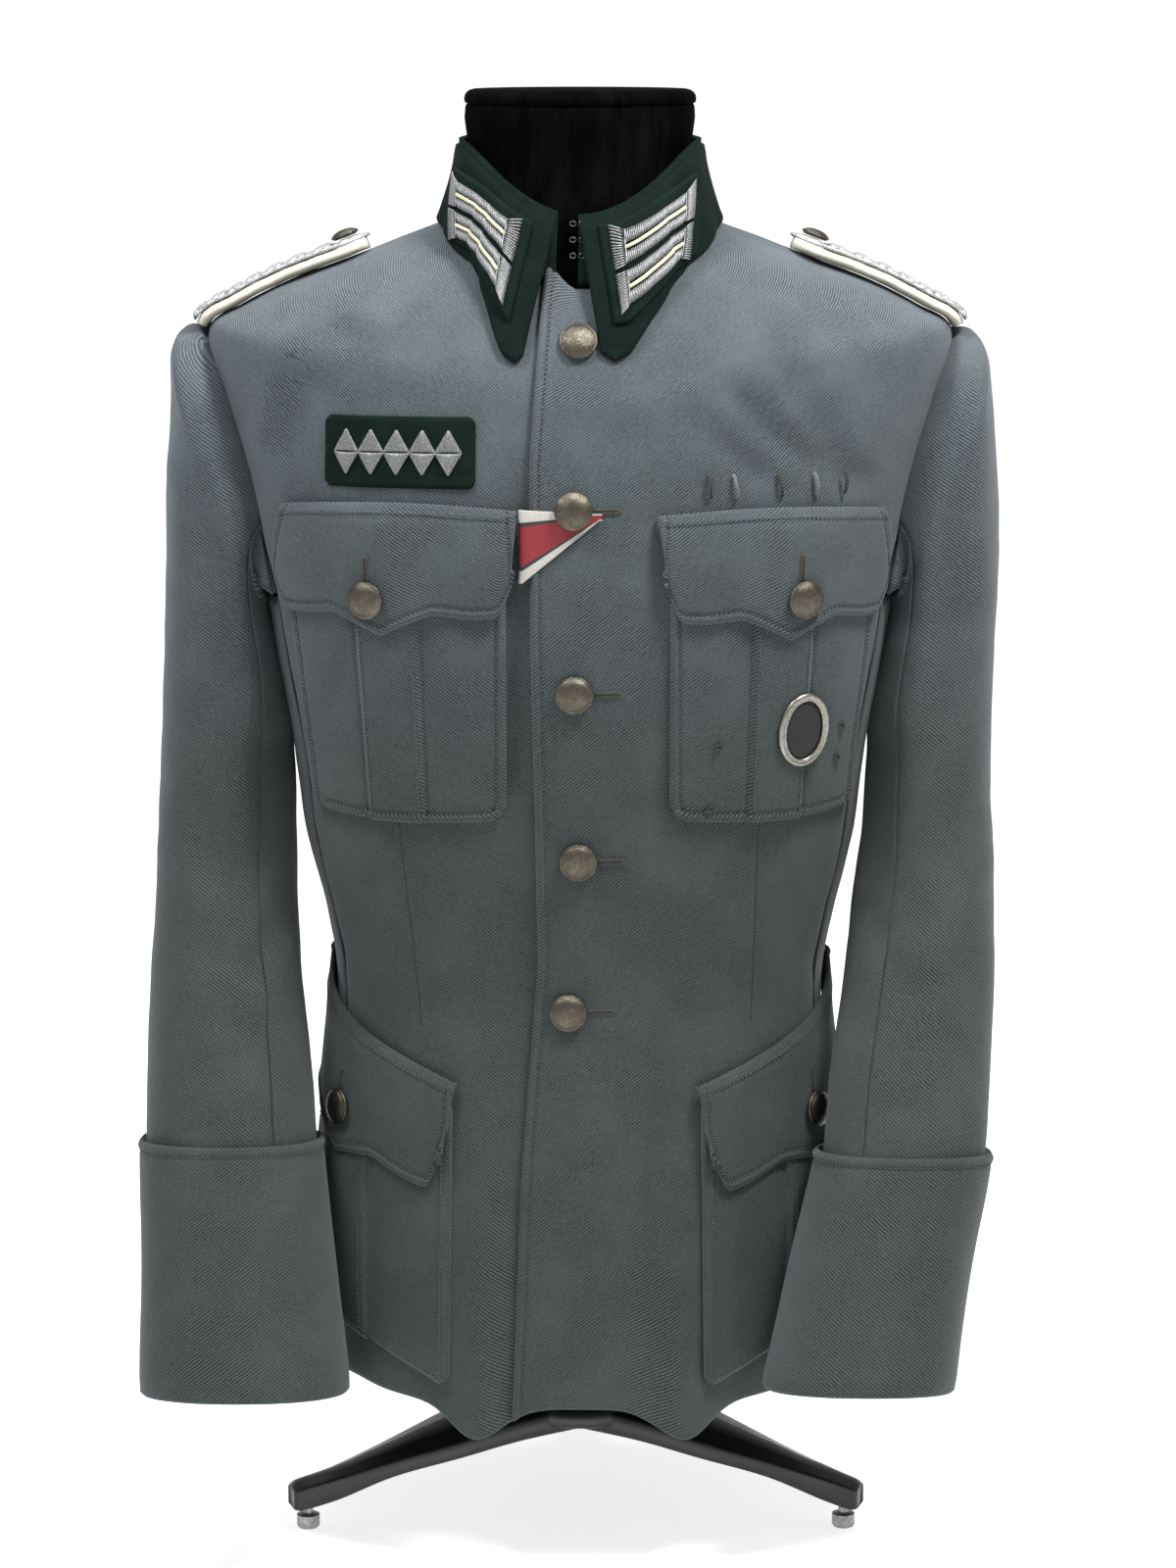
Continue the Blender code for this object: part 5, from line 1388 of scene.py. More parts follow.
def hip_pocket(which, side):
    start, wide, foot, top = HIP[side]
    tall = top - 0.014 - foot
    shares = with_lines(lines(wide, 0.0040), HIP_PLEAT_LINES)
    share, v = np.meshgrid(shares, lines(tall, 0.0045, "free", ""))
    a, b = pocket_round(share, v, wide, tall, 0.012)
    s, z = start + wide * a, foot + HIP_RISE * wide * a + tall * b
    rim = np.minimum(np.minimum(share, 1 - share) / 0.03, v / 0.05)
    rise = np.where(rim < 1, smooth(0.35 + 0.65 * np.clip(rim, 0, 1)), 1.0)
    rise = rise * (1 - 0.62 * smooth((v - 0.45) / 0.5)) * (1 - 0.35 * smooth((share - 0.6) / 0.4))
    full = np.maximum(HIP_DEEP * rise, POCKET_SEAT + WALL + 0.0004)
    inside = smooth(rim * 3 + 0.35)
    out = full * inside + (POCKET_SEAT + WALL * 0.9) * (1 - inside)
    grid = on_body(side, s, z, out)
    groove = np.exp(-(((np.abs(share - 0.5) - 0.146) / 0.008) ** 2))
    lift = (0.0024 * pleat(share) - 0.0010 * groove) * (rim >= 0.3)
    lift = lift + 0.0007 * waves(grid, 0.03, 41.0 + side)
    piece = Piece(grid, normals(grid, grid * FLAT), ("plain", "plain", "plain", ""), lift)
    cloth(f"hip_pocket_{which}_cloth", piece, WOOL, f"hip_pocket_{which}", uv_from=(8.0 + side, 0.3),
          inner=on_body(side, s, z, np.maximum(out - WALL, POCKET_SEAT)))
    sew_pleat(f"hip_{which}", piece, shares, (0.395, 0.605), 3)
    sew_round(f"hip_{which}", piece, 0.0062, 0.008)


def hip_flap(which, side, edge):
    start, wide, _, top = HIP[side]
    share, v = np.meshgrid(with_lines(lines(wide, 0.0034), FLAP_LINES), lines(0.060, 0.0034)[::-1])
    s = start - 0.004 + (wide + 0.008) * share + 0.010 * v * (1 - share)
    z = top + HIP_RISE * wide * share - np.interp(share, FINE, edge) * v * 1.06
    bump = 0.0016 * smooth((0.24 - np.abs(share - 0.5)) / 0.12)
    seated = 1 - 0.85 * smooth((share - 0.72) / 0.26)
    over = 0.0005 + smooth(v / 0.15) * (0.0036 + bump + 0.0016 * v) * seated
    grid = on_body(side, s, z, POCKET_SEAT + over + WALL)
    lift = 0.0012 * smooth((0.0066 - v * 0.060) / 0.0012) + 0.0005 * waves(grid, 0.028, 47.0 + side)
    piece = flap(f"hip_flap_{which}", grid, lift, f"hip_{which}", (10.0 + side, 0.4))
    flap_hole(piece, side, start + wide / 2, 0.2780)


for which, side in SIDE.items():
    breast_pocket(which, side)
    edge = flap_edge(breast_flap(which, side))
    hip_pocket(which, side)
    hip_flap(which, side, edge)

# Waist darts: a fine dark line on either front, painted shade in the seam.
SEAM_SHADES = Heap()
for piece, side, (s0, z0), (s1, z1) in ((RIGHT, -1, (0.1080, 0.4480), (0.0960, 0.3240)),
                                        (LEFT, 1, (0.1060, 0.4460), (0.1050, 0.3260))):
    path = []
    for a in np.linspace(0, 1, 60):
        on_line = on_body(side, np.array([s0 + (s1 - s0) * a]), np.array([z0 + (z1 - z0) * a]))[0]
        spot, m = piece.between(on_line)
        path.append(spot - m * 0.00012)
    SEAM_SHADES.add(tube(path, 0.00050, 6))

# Armhole seams, and the seams down the sides: a fine dark line in the join, painted shade.
for side in (-1, 1):
    for u in (np.linspace(0.004, 0.385, 90), np.linspace(0.615, 0.996, 90)):
        theta, t = armhole(u)
        spot = body(side * theta, t) - body_normal(side * theta, t) * 0.0001
        SEAM_SHADES.add(tube(spot + np.array([side * 0.0002, 0, 0]), 0.00070, 6))
    t = np.linspace(0.05, ARMPIT, 150)
    for column in (1, 2):
        theta = side * seam(t, column)
        SEAM_SHADES.add(tube(body(theta, t) - body_normal(theta, t) * 0.0010, 0.00060, 6))

# Front buttonholes, on the left front beside each button.
for x, z in FRONT_BUTTONS:
    reach = HOLE_LONG + x
    theta, t = place(1 if reach > 0 else -1, np.array([abs(reach)]), np.array([z - 0.0005]))
    spot, m = face(theta, t)[0], body_normal(theta, t)[0]
    slot_hole(spot + m * 0.0002, m, np.array([1.0, 0, 0.04]))

angles = COLLAR_ENDS[0] + (COLLAR_ENDS[1] + 360 - COLLAR_ENDS[0]) * lines(0.42, 0.0035)
lower = face(angles, NECK + 0 * angles) + np.array([0, 0, 0.0009])
upper = fold_line(angles)
grid = lower[None] + (upper - lower)[None] * np.linspace(0, 1, 14)[:, None, None]
piece = Piece(grid, unit(grid * FLAT), ("plain", "plain", "", ""), 0 * grid[..., 0])
cloth("collar_stand_cloth", piece, FELT, "collar_stand")

# Fall of the collar: three rows over the fold, then down to the edge.
v = np.concatenate([np.linspace(0.02, 0.10, 4), np.linspace(0.14, 0.86, 18),
                    [0.90, 0.935, 0.955, 0.97, 0.98, 0.99, 1.0]])
top_rows, under_rows = [], []
for shift, low_, high_ in ((-WALL, 0.0004, 0.0022), (-0.0006, 0.0004, 0.0030), (0.0008, 0.0004, 0.0027)):
    q = upper
    flat = unit(q * FLAT)
    under_rows.append(q + flat * shift + np.array([0, 0, low_]))
    top_rows.append(q + flat * (shift + 0.0006) + np.array([0, 0, high_]))
fall = collar(angles[None, :], v[:, None])
grid = np.concatenate([np.array(top_rows), fall])
outward = unit(fall * np.array([1, 1, 0.3]))
n = normals(fall, outward)
under_rows = np.concatenate([np.array(under_rows), fall - n * WALL])
above = np.broadcast_to(np.array([0, 0, 1.0]), (3, len(angles), 3))
lift = 0.0004 * waves(grid, 0.025, 51.0)
COLLAR = Piece(grid, np.concatenate([above, outward]), ("plain", "plain", "", "plain"), lift)
COLLAR.p[:3] = np.array(top_rows)
cloth("collar_fall_cloth", COLLAR, FELT, "collar_fall", inner=under_rows)


def on_collar(side, share, v, out):
    """Point and normal on the collar: share from its front end back, share from fold to edge."""
    theta = side * np.asarray(share, float) - 5
    v = np.asarray(v, float)
    p = collar(theta, v)
    along = collar(theta + 0.6, v) - collar(theta - 0.6, v)
    down = collar(theta, np.minimum(v + 0.02, 1)) - collar(theta, np.maximum(v - 0.02, 0))
    n = unit(np.cross(down, along))
    n = n * np.sign((n * p * FLAT).sum(-1, keepdims=True))
    return p + n * out, n


def patch_spot(side, spec, a, b, out):
    """Point on a collar patch: a from the front end back, b from its top down."""
    (a0, a1), (b0, b1), (first, last), turn = spec[side]
    a, b = np.broadcast_arrays(np.asarray(a, float), np.asarray(b, float))
    top, low = a0 + (b0 - a0) * a, a1 + (b1 - a1) * a
    return on_collar(side, first + (last - first - turn * b) * a, top + (low - top) * b, out)


def lace_rib(lace, side, a0, b0, a1, b1, high=0.0012, radius=0.00052):
    """Arched rib of metal cord between two places on a collar patch."""
    k = np.linspace(0, 1, 5)
    p, n = patch_spot(side, LACE, a0 + (a1 - a0) * k, b0 + (b1 - b0) * k, 0.0030)
    p = p + n * (high * np.sin(np.pi * (0.15 + 0.7 * k)))[:, None]
    lace.add(tube(p, radius, 5, 1.0, n, taper=0.35))


def lace_bar(lace, silk, side, top, low):
    """Slanting ribs on both sides of a silk stripe, between end caps whose points flare."""
    middle, count = (top + low) / 2, 34
    for k in range(count):
        a = 0.165 + 0.67 * k / (count - 1)
        lace_rib(lace, side, a, top, a - 0.030, middle - 0.055)
        lace_rib(lace, side, a, middle + 0.055, a - 0.030, low)
    k = np.linspace(0.150, 0.850, 30)
    p, n = patch_spot(side, LACE, k, middle + 0 * k, 0.0037)
    silk.add(tube(p, 0.0011, 8, 0.8, n))
    k = np.linspace(top, low, 12)
    for end in (0.150, 0.850):
        p, n = patch_spot(side, LACE, end + 0 * k, k, 0.0040)
        lace.add(tube(p, 0.00045, 6, 1.0, n))
    flare_top, flare_low = (-0.10, 0.02) if top < 0.2 else (0.02, 0.10)
    for a_in, a_out, sway in ((0.135, 0.0, 0.015), (0.865, 1.0, -0.015)):
        for k in range(15):
            q = k / 14
            b_out = top + flare_top + (low + flare_low - top - flare_top) * q + sway
            lace_rib(lace, side, a_in, top + (low - top) * q, a_out, min(b_out, 1.12), 0.0014, 0.00062)


for which, side in SIDE.items():
    a = np.concatenate([[0, 0.015, 0.03], np.linspace(0.06, 0.94, 22), [0.97, 0.985, 1]])
    share, v = np.meshgrid(a, a)
    grid, n = patch_spot(side, PATCH, share, v, 0.0024)
    piece = Piece(grid, n, ("plain",) * 4, 0.0003 * waves(grid, 0.012, 61.0))
    cloth(f"collar_patch_{which}_cloth", piece, PATCH_FELT, f"collar_patch_{which}", wall=0.0018,
          uv_from=(12.0, 0.0))
    lace, silk = Heap(), Heap()
    for top, low in ((0.03, 0.455), (0.545, 0.97)):
        lace_bar(lace, silk, side, top, low)
    lace.piece(f"collar_lace_{which}_cords", DULL_SILVER, f"collar_lace_{which}", "silver_cord")
    silk.piece(f"collar_lace_{which}_silk", CREAM_SILK, slot="board_felt")

# Hooks and eyes that close the collar.
hooks = Heap()
for z in (0.7935, 0.7845, 0.7755):
    for x0 in (-0.0042, 0.0010):
        ring = []
        for k in range(12):
            a = 2 * math.pi * k / 12
            ring.append((x0 + 0.0018 * math.cos(a), -0.0768 - (0.797 - z) * 0.30,
                         z + 0.0014 * math.sin(a)))
        hooks.add(tube(ring, 0.00042, 6, closed=True))
hooks.piece("collar_hooks", HOOK)


def board_spot(side, share):
    """Points and normals of the shoulder line under the board."""
    t = 14.08 + 3.25 * np.asarray(share, float)
    p = body(side * SHOULDER_SEAM, t, plain=True)
    q = body(side * SHOULDER_SEAM, t + 0.1, plain=True) - body(side * SHOULDER_SEAM, t - 0.06, plain=True)
    n = np.stack([-q[..., 2], 0 * q[..., 0], q[..., 0]], -1) * np.where(q[..., 0] > 0, 1, -1)[..., None]
    p[..., 1] = -0.003
    return p, unit(n)


def board_point(side, share, across, high):
    """Points over the shoulder line, moved across it and up from it."""
    p, n = board_spot(side, share)
    shift = np.zeros_like(p)
    shift[..., 1] = across
    return p + shift + n * (0.0004 + np.asarray(high, float))[..., None]


def power(x, p):
    return math.copysign(abs(x) ** p, x)


def board_felt(which, side):
    """Felt underlay with full, rounded edges."""
    turns = [2 * math.pi * k / 28 for k in range(28)]
    section = [(power(math.cos(a), 0.55), 0.5 + 0.5 * power(math.sin(a), 0.8)) for a in turns]
    share = np.concatenate([np.linspace(-0.005, 0.05, 5), np.linspace(0.08, 0.92, 26),
                            np.linspace(0.94, 1.0, 4)])
    rings = []
    for s, wide in zip(share, lerp(BOARD_WIDTH, np.clip(share, 0, 1))):
        row = []
        for x, h in section:
            sag = 0.0004 * noise.noise(Vector((s * 9, x, which == "left")))
            row.append(board_point(side, np.array(s), x * 0.0226 * wide, 0.0002 + 0.0074 * h + sag))
        rings.append(row)
    finish_piece(ring_solid(f"board_underlay_{which}_felt", rings), CREAM, f"board_underlay_{which}")


def board_braid(which, side):
    """Flat braid: triple cords that pass over and under each other, a waved cord along each
    side, and loops round the button at the inner end."""
    braid = Heap()
    q = np.linspace(0, 1, 130)
    along = 0.012 + 0.835 * q
    n = board_spot(side, along)[1]
    for strand in range(4):
        phase = q * 2 * math.pi * 3.4 + strand * math.pi / 2
        high = 0.0094 + 0.0012 * np.sin(2 * phase + math.pi * (strand % 2))
        path = board_point(side, along, 0.0140 * np.sin(phase), high)
        beside = np.cross(unit(np.gradient(path, axis=0)), n)
        for twin in (-1, 0, 1):
            braid.add(tube(path + beside * (twin * 0.0019), 0.00125, 7, 0.85, n))
    q = np.linspace(0.02, 0.86, 60)
    wave = 0.0172 + 0.0006 * np.sin(q * 2 * math.pi * 13)
    for sign in (-1, 1):
        path = board_point(side, q, sign * wave, 0.0088 + 0 * q)
        braid.add(tube(path, 0.0014, 7, 0.85, board_spot(side, q)[1]))
    length = float(np.linalg.norm(board_spot(side, 0.95)[0] - board_spot(side, 0.02)[0]))
    q = np.linspace(-0.62 * math.pi, 0.62 * math.pi, 28)
    for r, high in ((0.0080, 0.0094), (0.0107, 0.0088), (0.0134, 0.0082)):
        share = 0.895 + r * np.cos(q) / length * 0.90
        path = board_point(side, share, r * 0.95 * np.sin(q), high + 0 * q)
        braid.add(tube(path, 0.0014, 7, 0.85, board_spot(side, share)[1]))
    braid.piece(f"board_braid_{which}_cords", SILVER, f"board_braid_{which}", "silver_cord")


for which, side in SIDE.items():
    board_felt(which, side)
    board_braid(which, side)

# Half section of a button: distance from its middle, height.
BUTTON_FORM = (
    (0.0, 0.00615), (0.0020, 0.00610), (0.0040, 0.00590), (0.0060, 0.00545), (0.0078, 0.00480),
    (0.0092, 0.00395), (0.0099, 0.00335), (0.01035, 0.0031), (0.0108, 0.0030), (0.0110, 0.0026),
    (0.0110, 0.0019), (0.0107, 0.0013), (0.0098, 0.0008), (0.0086, 0.0001), (0.0040, 0.0),
)
BUTTON_WIDE = 0.0110


def button_piece(name, point, normal, radius=BUTTON_WIDE):
    """Pressed button: pebbled dome with a turned rim."""
    across = unit(np.cross(np.array([0, 0, 1.0]), normal))
    up = np.cross(normal, across)
    k = radius / BUTTON_WIDE
    count, rows = 40, len(BUTTON_FORM) - 1
    vertices = [point + normal * BUTTON_FORM[0][1] * k]
    for r, h in BUTTON_FORM[1:]:
        for i in range(count):
            a = 2 * math.pi * i / count
            vertices.append(point + (across * math.cos(a) + up * math.sin(a)) * r * k + normal * h * k)
    faces = [(0, 1 + i, 1 + (i + 1) % count) for i in range(count)]
    for r in range(rows - 1):
        a, b = 1 + r * count, 1 + (r + 1) * count
        for i in range(count):
            m = (i + 1) % count
            faces.append((a + i, b + i, b + m, a + m))
    faces.append(tuple(1 + (rows - 1) * count + i for i in range(count))[::-1])
    obj = face_out(mesh_object(f"{name}_dome", vertices, faces))
    return finish_piece(obj, BUTTON_METAL, name)


def button_on(name, side, s, z, seat):
    """Button on the front, at a girth and height, out from the cloth by its seat."""
    theta, t = place(side, np.array([s]), np.array([z]))
    button_piece(name, face(theta, t, seat)[0], body_normal(theta, t)[0])


for number, (x, z) in enumerate(FRONT_BUTTONS, 1):
    button_on(f"front_button_{number}", -1, -x, z, {2: 0.0024, 5: 0.0009}.get(number, 0.0006))
for which, side in SIDE.items():
    button_on(f"breast_button_{which}", side, BREAST_BUTTON[side], 0.5815,
              POCKET_SEAT + 0.0036 + PLEAT_DEEP + WALL + 0.0006)
    button_on(f"hip_button_{which}", side, HIP[side][0] + HIP[side][1] / 2, 0.2680,
              POCKET_SEAT + 0.0041 + 0.0016 + 0.0014 + WALL + 0.0005)
    p, n = board_spot(side, 0.90)
    button_piece(f"shoulder_button_{which}", p + n * 0.0117, n, 0.0085)

# Ribbon through the second buttonhole: ribbed, red, with a pale stripe and a dark edge on
# each side.
chain = np.array((
    (0.0125, 0.0012), (0.0110, 0.0016), (-0.006, 0.0016), (-0.020, 0.0017), (-0.0305, 0.0018),
    (-0.0336, 0.0013), (-0.0348, 0.0004), (-0.0350, -0.0006), (-0.0343, -0.0014), (-0.0332, -0.0019),
))
at = np.interp(np.linspace(0, 1, 64), np.linspace(0, 1, len(chain)), np.arange(len(chain)))
xs, outs = rows_at(chain, at).T
share = np.clip((0.0110 - xs) / 0.044, 0, 1)
high, low = 0.6314 + 0.0022 * share, 0.6276 - 0.0356 * share
across = np.linspace(0, 1, 44)[:, None]
zz = high[None, :] + (low - high)[None, :] * across
xx = np.broadcast_to(xs[None, :], zz.shape)
theta, t = np.zeros_like(zz), np.zeros_like(zz)
for sign in (-1, 1):
    a, b = place(sign, np.abs(xx), zz)
    theta, t = np.where(np.sign(xx) == sign, a, theta), np.where(np.sign(xx) == sign, b, t)
n = body_normal(theta, t)
grid = body(theta, t) + n * (LAP + outs)[None, :, None]
piece = Piece(grid, n, ("",) * 4, 0.0004 * np.sin(across * math.pi * 2.0 + 0.6) * share[None, :])
s = Shader("ribbon_weave", (0.20, 0.008, 0.011), 0.62)
source = s.node("ShaderNodeUVMap", uv_map="cut")
parts = s.node("ShaderNodeSeparateXYZ")
s.link(source.outputs["UV"], parts.inputs["Vector"])
fine = s.bands(s.cut(), 330.0, 0.0, 0.0, "X")
red = s.mix(fine, (0.22, 0.007, 0.011), (0.12, 0.004, 0.007))
pale = s.mix(fine, (0.42, 0.41, 0.37), (0.27, 0.26, 0.235))
dark = s.mix(fine, (0.016, 0.016, 0.017), (0.006, 0.006, 0.006))
from_middle = s.maths("ABSOLUTE", s.maths("SUBTRACT", parts.outputs["Y"], 0.5), 0.0)
inner_part = s.maths("LESS_THAN", from_middle, 0.27)
dark_part = s.maths("LESS_THAN", from_middle, 0.33)
s.colour(s.mix(inner_part, s.mix(dark_part, pale, dark), red))
s.bump(fine, 0.4, 0.0002)
s.sheen(0.2, 0.4)
obj = cloth("ribbon_band", piece, s.material, "ribbon", wall=0.0006)
# Its stripes run by the share across the ribbon, on both faces.
corners = np.empty(len(obj.data.loops), np.int32)
obj.data.loops.foreach_get("vertex_index", corners)
uv = np.stack([piece.u, np.broadcast_to(across, zz.shape)], -1).reshape(-1, 2)
uv = np.concatenate([uv, uv])[corners].astype(np.float32)
obj.data.uv_layers["cut"].data.foreach_set("uv", uv.ravel())
# Oblong patch of metal thread in a plain row of diamonds, on dark felt.
left, right, low, high = 0.060, 0.152, 0.6450, 0.6860
a = np.concatenate([[0, 0.006, 0.016, 0.03], np.linspace(0.05, 0.95, 44), [0.97, 0.984, 0.994, 1]])
b = np.concatenate([[0, 0.014, 0.035, 0.07], np.linspace(0.12, 0.88, 18), [0.93, 0.965, 0.986, 1]])
share, v = np.meshgrid(a, b)
low_a, low_b = pocket_round(share, np.minimum(v, 0.5), right - left, high - low, 0.005)
high_a, high_b = pocket_round(share, 1 - v, right - left, high - low, 0.005)
a, b = np.where(v > 0.5, high_a, low_a), np.where(v > 0.5, 1 - high_b, low_b)
grid = on_body(-1, left + (right - left) * a, low + (high - low) * b, 0.0020)
piece = Piece(grid, normals(grid, grid * FLAT), ("plain",) * 4, 0.0003 * waves(grid, 0.010, 71.0))
cloth("badge_backing_felt", piece, PATCH_FELT, "badge_backing", wall=0.0016, uv_from=(14.0, 0.0))
metal = Heap()
centre, count = (low + high) / 2, 5
pitch = (right - left - 0.016) / count


def badge_line(x0, z0, x1, z1, lift=0.0009, radius=0.00048, steps=7, ends=0.35):
    """Arched thread of metal between two places on the badge."""
    k = np.linspace(0, 1, steps)
    theta, t = place(-1, x0 + (x1 - x0) * k, z0 + (z1 - z0) * k)
    n = body_normal(theta, t)
    p = face(theta, t, 0.0) + n * (0.0023 + lift * np.sin(np.pi * (0.12 + 0.76 * k)))[:, None]
    metal.add(tube(p, radius, 5, 1.0, n, taper=ends))


half_w, half_h = pitch / 2 * 0.98, 0.0125
for d in range(count):
    middle = left + 0.008 + pitch * (d + 0.5)
    for k in range(15):
        q = (k + 0.5) / 15
        tall = half_h * (1 - q)
        for sign in (-1, 1):
            x = middle + sign * half_w * q
            if tall > 0.0012:
                badge_line(x, centre + tall, x - sign * 0.0006, centre + 0.0004)
                badge_line(x, centre - tall, x - sign * 0.0006, centre - 0.0004)
    tips = [(middle - half_w, centre), (middle, centre + half_h), (middle + half_w, centre),
            (middle, centre - half_h)]
    for (xa, za), (xb, zb) in zip(tips, tips[1:] + tips[:1]):
        badge_line(xa, za, xb, zb, 0.0006, 0.00062, 12, 0.0)
metal.piece("badge_embroidery_threads", DULL_SILVER, "badge_embroidery", "silver_cord")

# Oval pin: beaded bright rim round a plain dark face.
theta, t = place(1, np.array([0.1310]), np.array([0.5036]))
out = body_normal(theta, t)[0]
origin = face(theta, t)[0]
across = unit(np.cross(np.array([0, 0, 1.0]), out))
up = np.cross(out, across)
base = POCKET_SEAT + WALL + PLEAT_DEEP + 0.0005


def oval(a, b, h):
    """Ring of 64 points about the pin's middle, at a height over the pocket."""
    q = 2 * math.pi * np.arange(64) / 64
    return origin + np.cos(q)[:, None] * across * a + np.sin(q)[:, None] * up * b + out * (base + h)


# Section of the rim: half width, half height, height out.
PIN_RIM = (
    (0.0170, 0.0220, 0.0), (0.0174, 0.0224, 0.0006), (0.0174, 0.0224, 0.0014),
    (0.0168, 0.0218, 0.0023), (0.0160, 0.0210, 0.0027), (0.0148, 0.0198, 0.0025),
    (0.0142, 0.0192, 0.0020), (0.0134, 0.0184, 0.0024), (0.0128, 0.0178, 0.0023),
    (0.0125, 0.0175, 0.0014), (0.0124, 0.0174, 0.0),
)
# Dome of the face: share of its width, height out.
PIN_FACE = (
    (1.0, 0.0), (1.0, 0.0010), (0.97, 0.0013), (0.80, 0.0017), (0.5, 0.0021), (0.2, 0.0022),
    (0.02, 0.0022),
)
rim = ring_solid("pin_rim_ring", [oval(*row) for row in PIN_RIM], joined=True)
finish_piece(rim, BRIGHT, "pin_rim")
plate = ring_solid("pin_face_plate", [oval(0.0119 * q, 0.0169 * q, h) for q, h in PIN_FACE])
finish_piece(plate, ENAMEL, "pin_face")

# Thread loops above the left breast pocket, and small ones on it.
dark_loops, pale_loops = Heap(), Heap()


def loop(heap, s, z, lift, radius):
    theta, t = place(1, s, z)
    n = body_normal(theta, t)
    heap.add(tube(body(theta, t) + n * (lift[:, None] + 0.0003), radius, 6, 1.0, n))


q = np.linspace(0, 1, 26)
for x, z, lean, heap in ((0.0745, 0.6465, 0.10, dark_loops), (0.0895, 0.6460, 0.18, pale_loops),
                         (0.1160, 0.6465, 0.16, dark_loops), (0.1380, 0.6460, 0.10, pale_loops),
                         (0.1580, 0.6465, -0.05, dark_loops)):
    for half_turn in (0, math.pi):
        twist = q * 2 * math.pi * 3.5 + half_turn
        loop(heap, x + 0.0005 * np.sin(twist) + lean * 0.013 * (q - 0.5), z + 0.0070 - 0.0135 * q,
             0.0008 + 0.0022 * np.sin(math.pi * q) + 0.0004 * np.cos(twist), 0.00078)
q = np.linspace(0, 1, 16)
for x, z, flip in ((0.0790, 0.4960, 1), (0.0740, 0.4590, 1), (0.1615, 0.5030, -1), (0.1590, 0.4840, -1)):
    for k, bend in enumerate((-1, 1)):
        loop(dark_loops, x + flip * (0.0045 * (q - 0.5) + 0.0008 * k),
             z + 0.0016 * np.sin(q * math.pi) * bend + 0.0014 * (q - 0.5),
             POCKET_SEAT + WALL + 0.0008 + 0.0012 * np.sin(math.pi * q), 0.00062)
dark_loops.piece("thread_loops_dark", LOOP_DARK)
pale_loops.piece("thread_loops_pale", LOOP_PALE)

HOLES.piece("buttonhole_threads", HOLE_THREAD)
SLIT_SHADES.piece("buttonhole_slit_shades", PAINTED_SHADE_LINE)
SEAM_SHADES.piece("seam_shade_lines", PAINTED_SHADE_LINE)

# Form: velvet body, with small creases at the neck.
around = np.arange(0, 360, 4.0)
rings = []
for t in np.concatenate([np.linspace(2, 14, 50), np.linspace(14.2, 18, 16)]):
    p = body(around, t + 0 * around, plain=True)
    inward = unit(p * FLAT) if t < 14 else body_normal(around, t + 0 * around)
    shoulder = np.minimum(np.abs(around - 92), np.abs(around - 268))
    ridge = smooth((t - 14.2) / 0.8) * np.exp(-((shoulder / 9) ** 2))
    rings.append(p - inward * (FORM_GAP + (WALL + 0.0012 - FORM_GAP) * ridge)[:, None])
for k in np.linspace(0, 1, 26):
    z, half, front, back = (np.interp(k, np.linspace(0, 1, len(NECK_RINGS)), column)
                            for column in zip(*NECK_RINGS))
    x, y, r = polar(around, half, front, back, 2.05)
    turns = [math.radians(q) for q in around]
    crease = np.array([noise.noise(Vector((math.cos(a) * 6, math.sin(a) * 6, k * 0.9))) for a in turns])
    crease = 0.0006 * crease - 0.0007 * np.exp(-(((around - 352) / 3.0) ** 2))
    crease = crease - 0.0006 * np.exp(-(((around - 20) / 3.0) ** 2))
    rings.append(np.stack([x * (1 + crease / r), y * (1 + crease / r), z + 0 * x], -1))
rings[-1] = rings[-1] * np.array([0.99, 0.99, 1.0])
finish_piece(ring_solid("form_torso_velvet", rings), VELVET, "form_torso")

# Cap of the neck: height, distance in from its widest.
NECK_CAP = (
    (0.8603, 0.0012), (0.8612, 0.0), (0.8630, -0.0003), (0.8650, 0.0), (0.8668, 0.0010),
    (0.8681, 0.0028), (0.8688, 0.0052), (0.86895, 0.0085), (0.8690, 0.020), (0.8686, 0.045),
    (0.8685, 0.060),
)
rings = []
for z, shrink in NECK_CAP:
    square = 2.05 if shrink < 0.03 else 2.0
    x, y, r = polar(around, 0.0682 - shrink, 0.0648 - shrink, 0.0600 - shrink, square)
    rings.append(np.stack([x, y, z + 0 * x], -1))
finish_piece(ring_solid("form_neck_cap_velvet", rings), VELVET, "form_neck_cap")

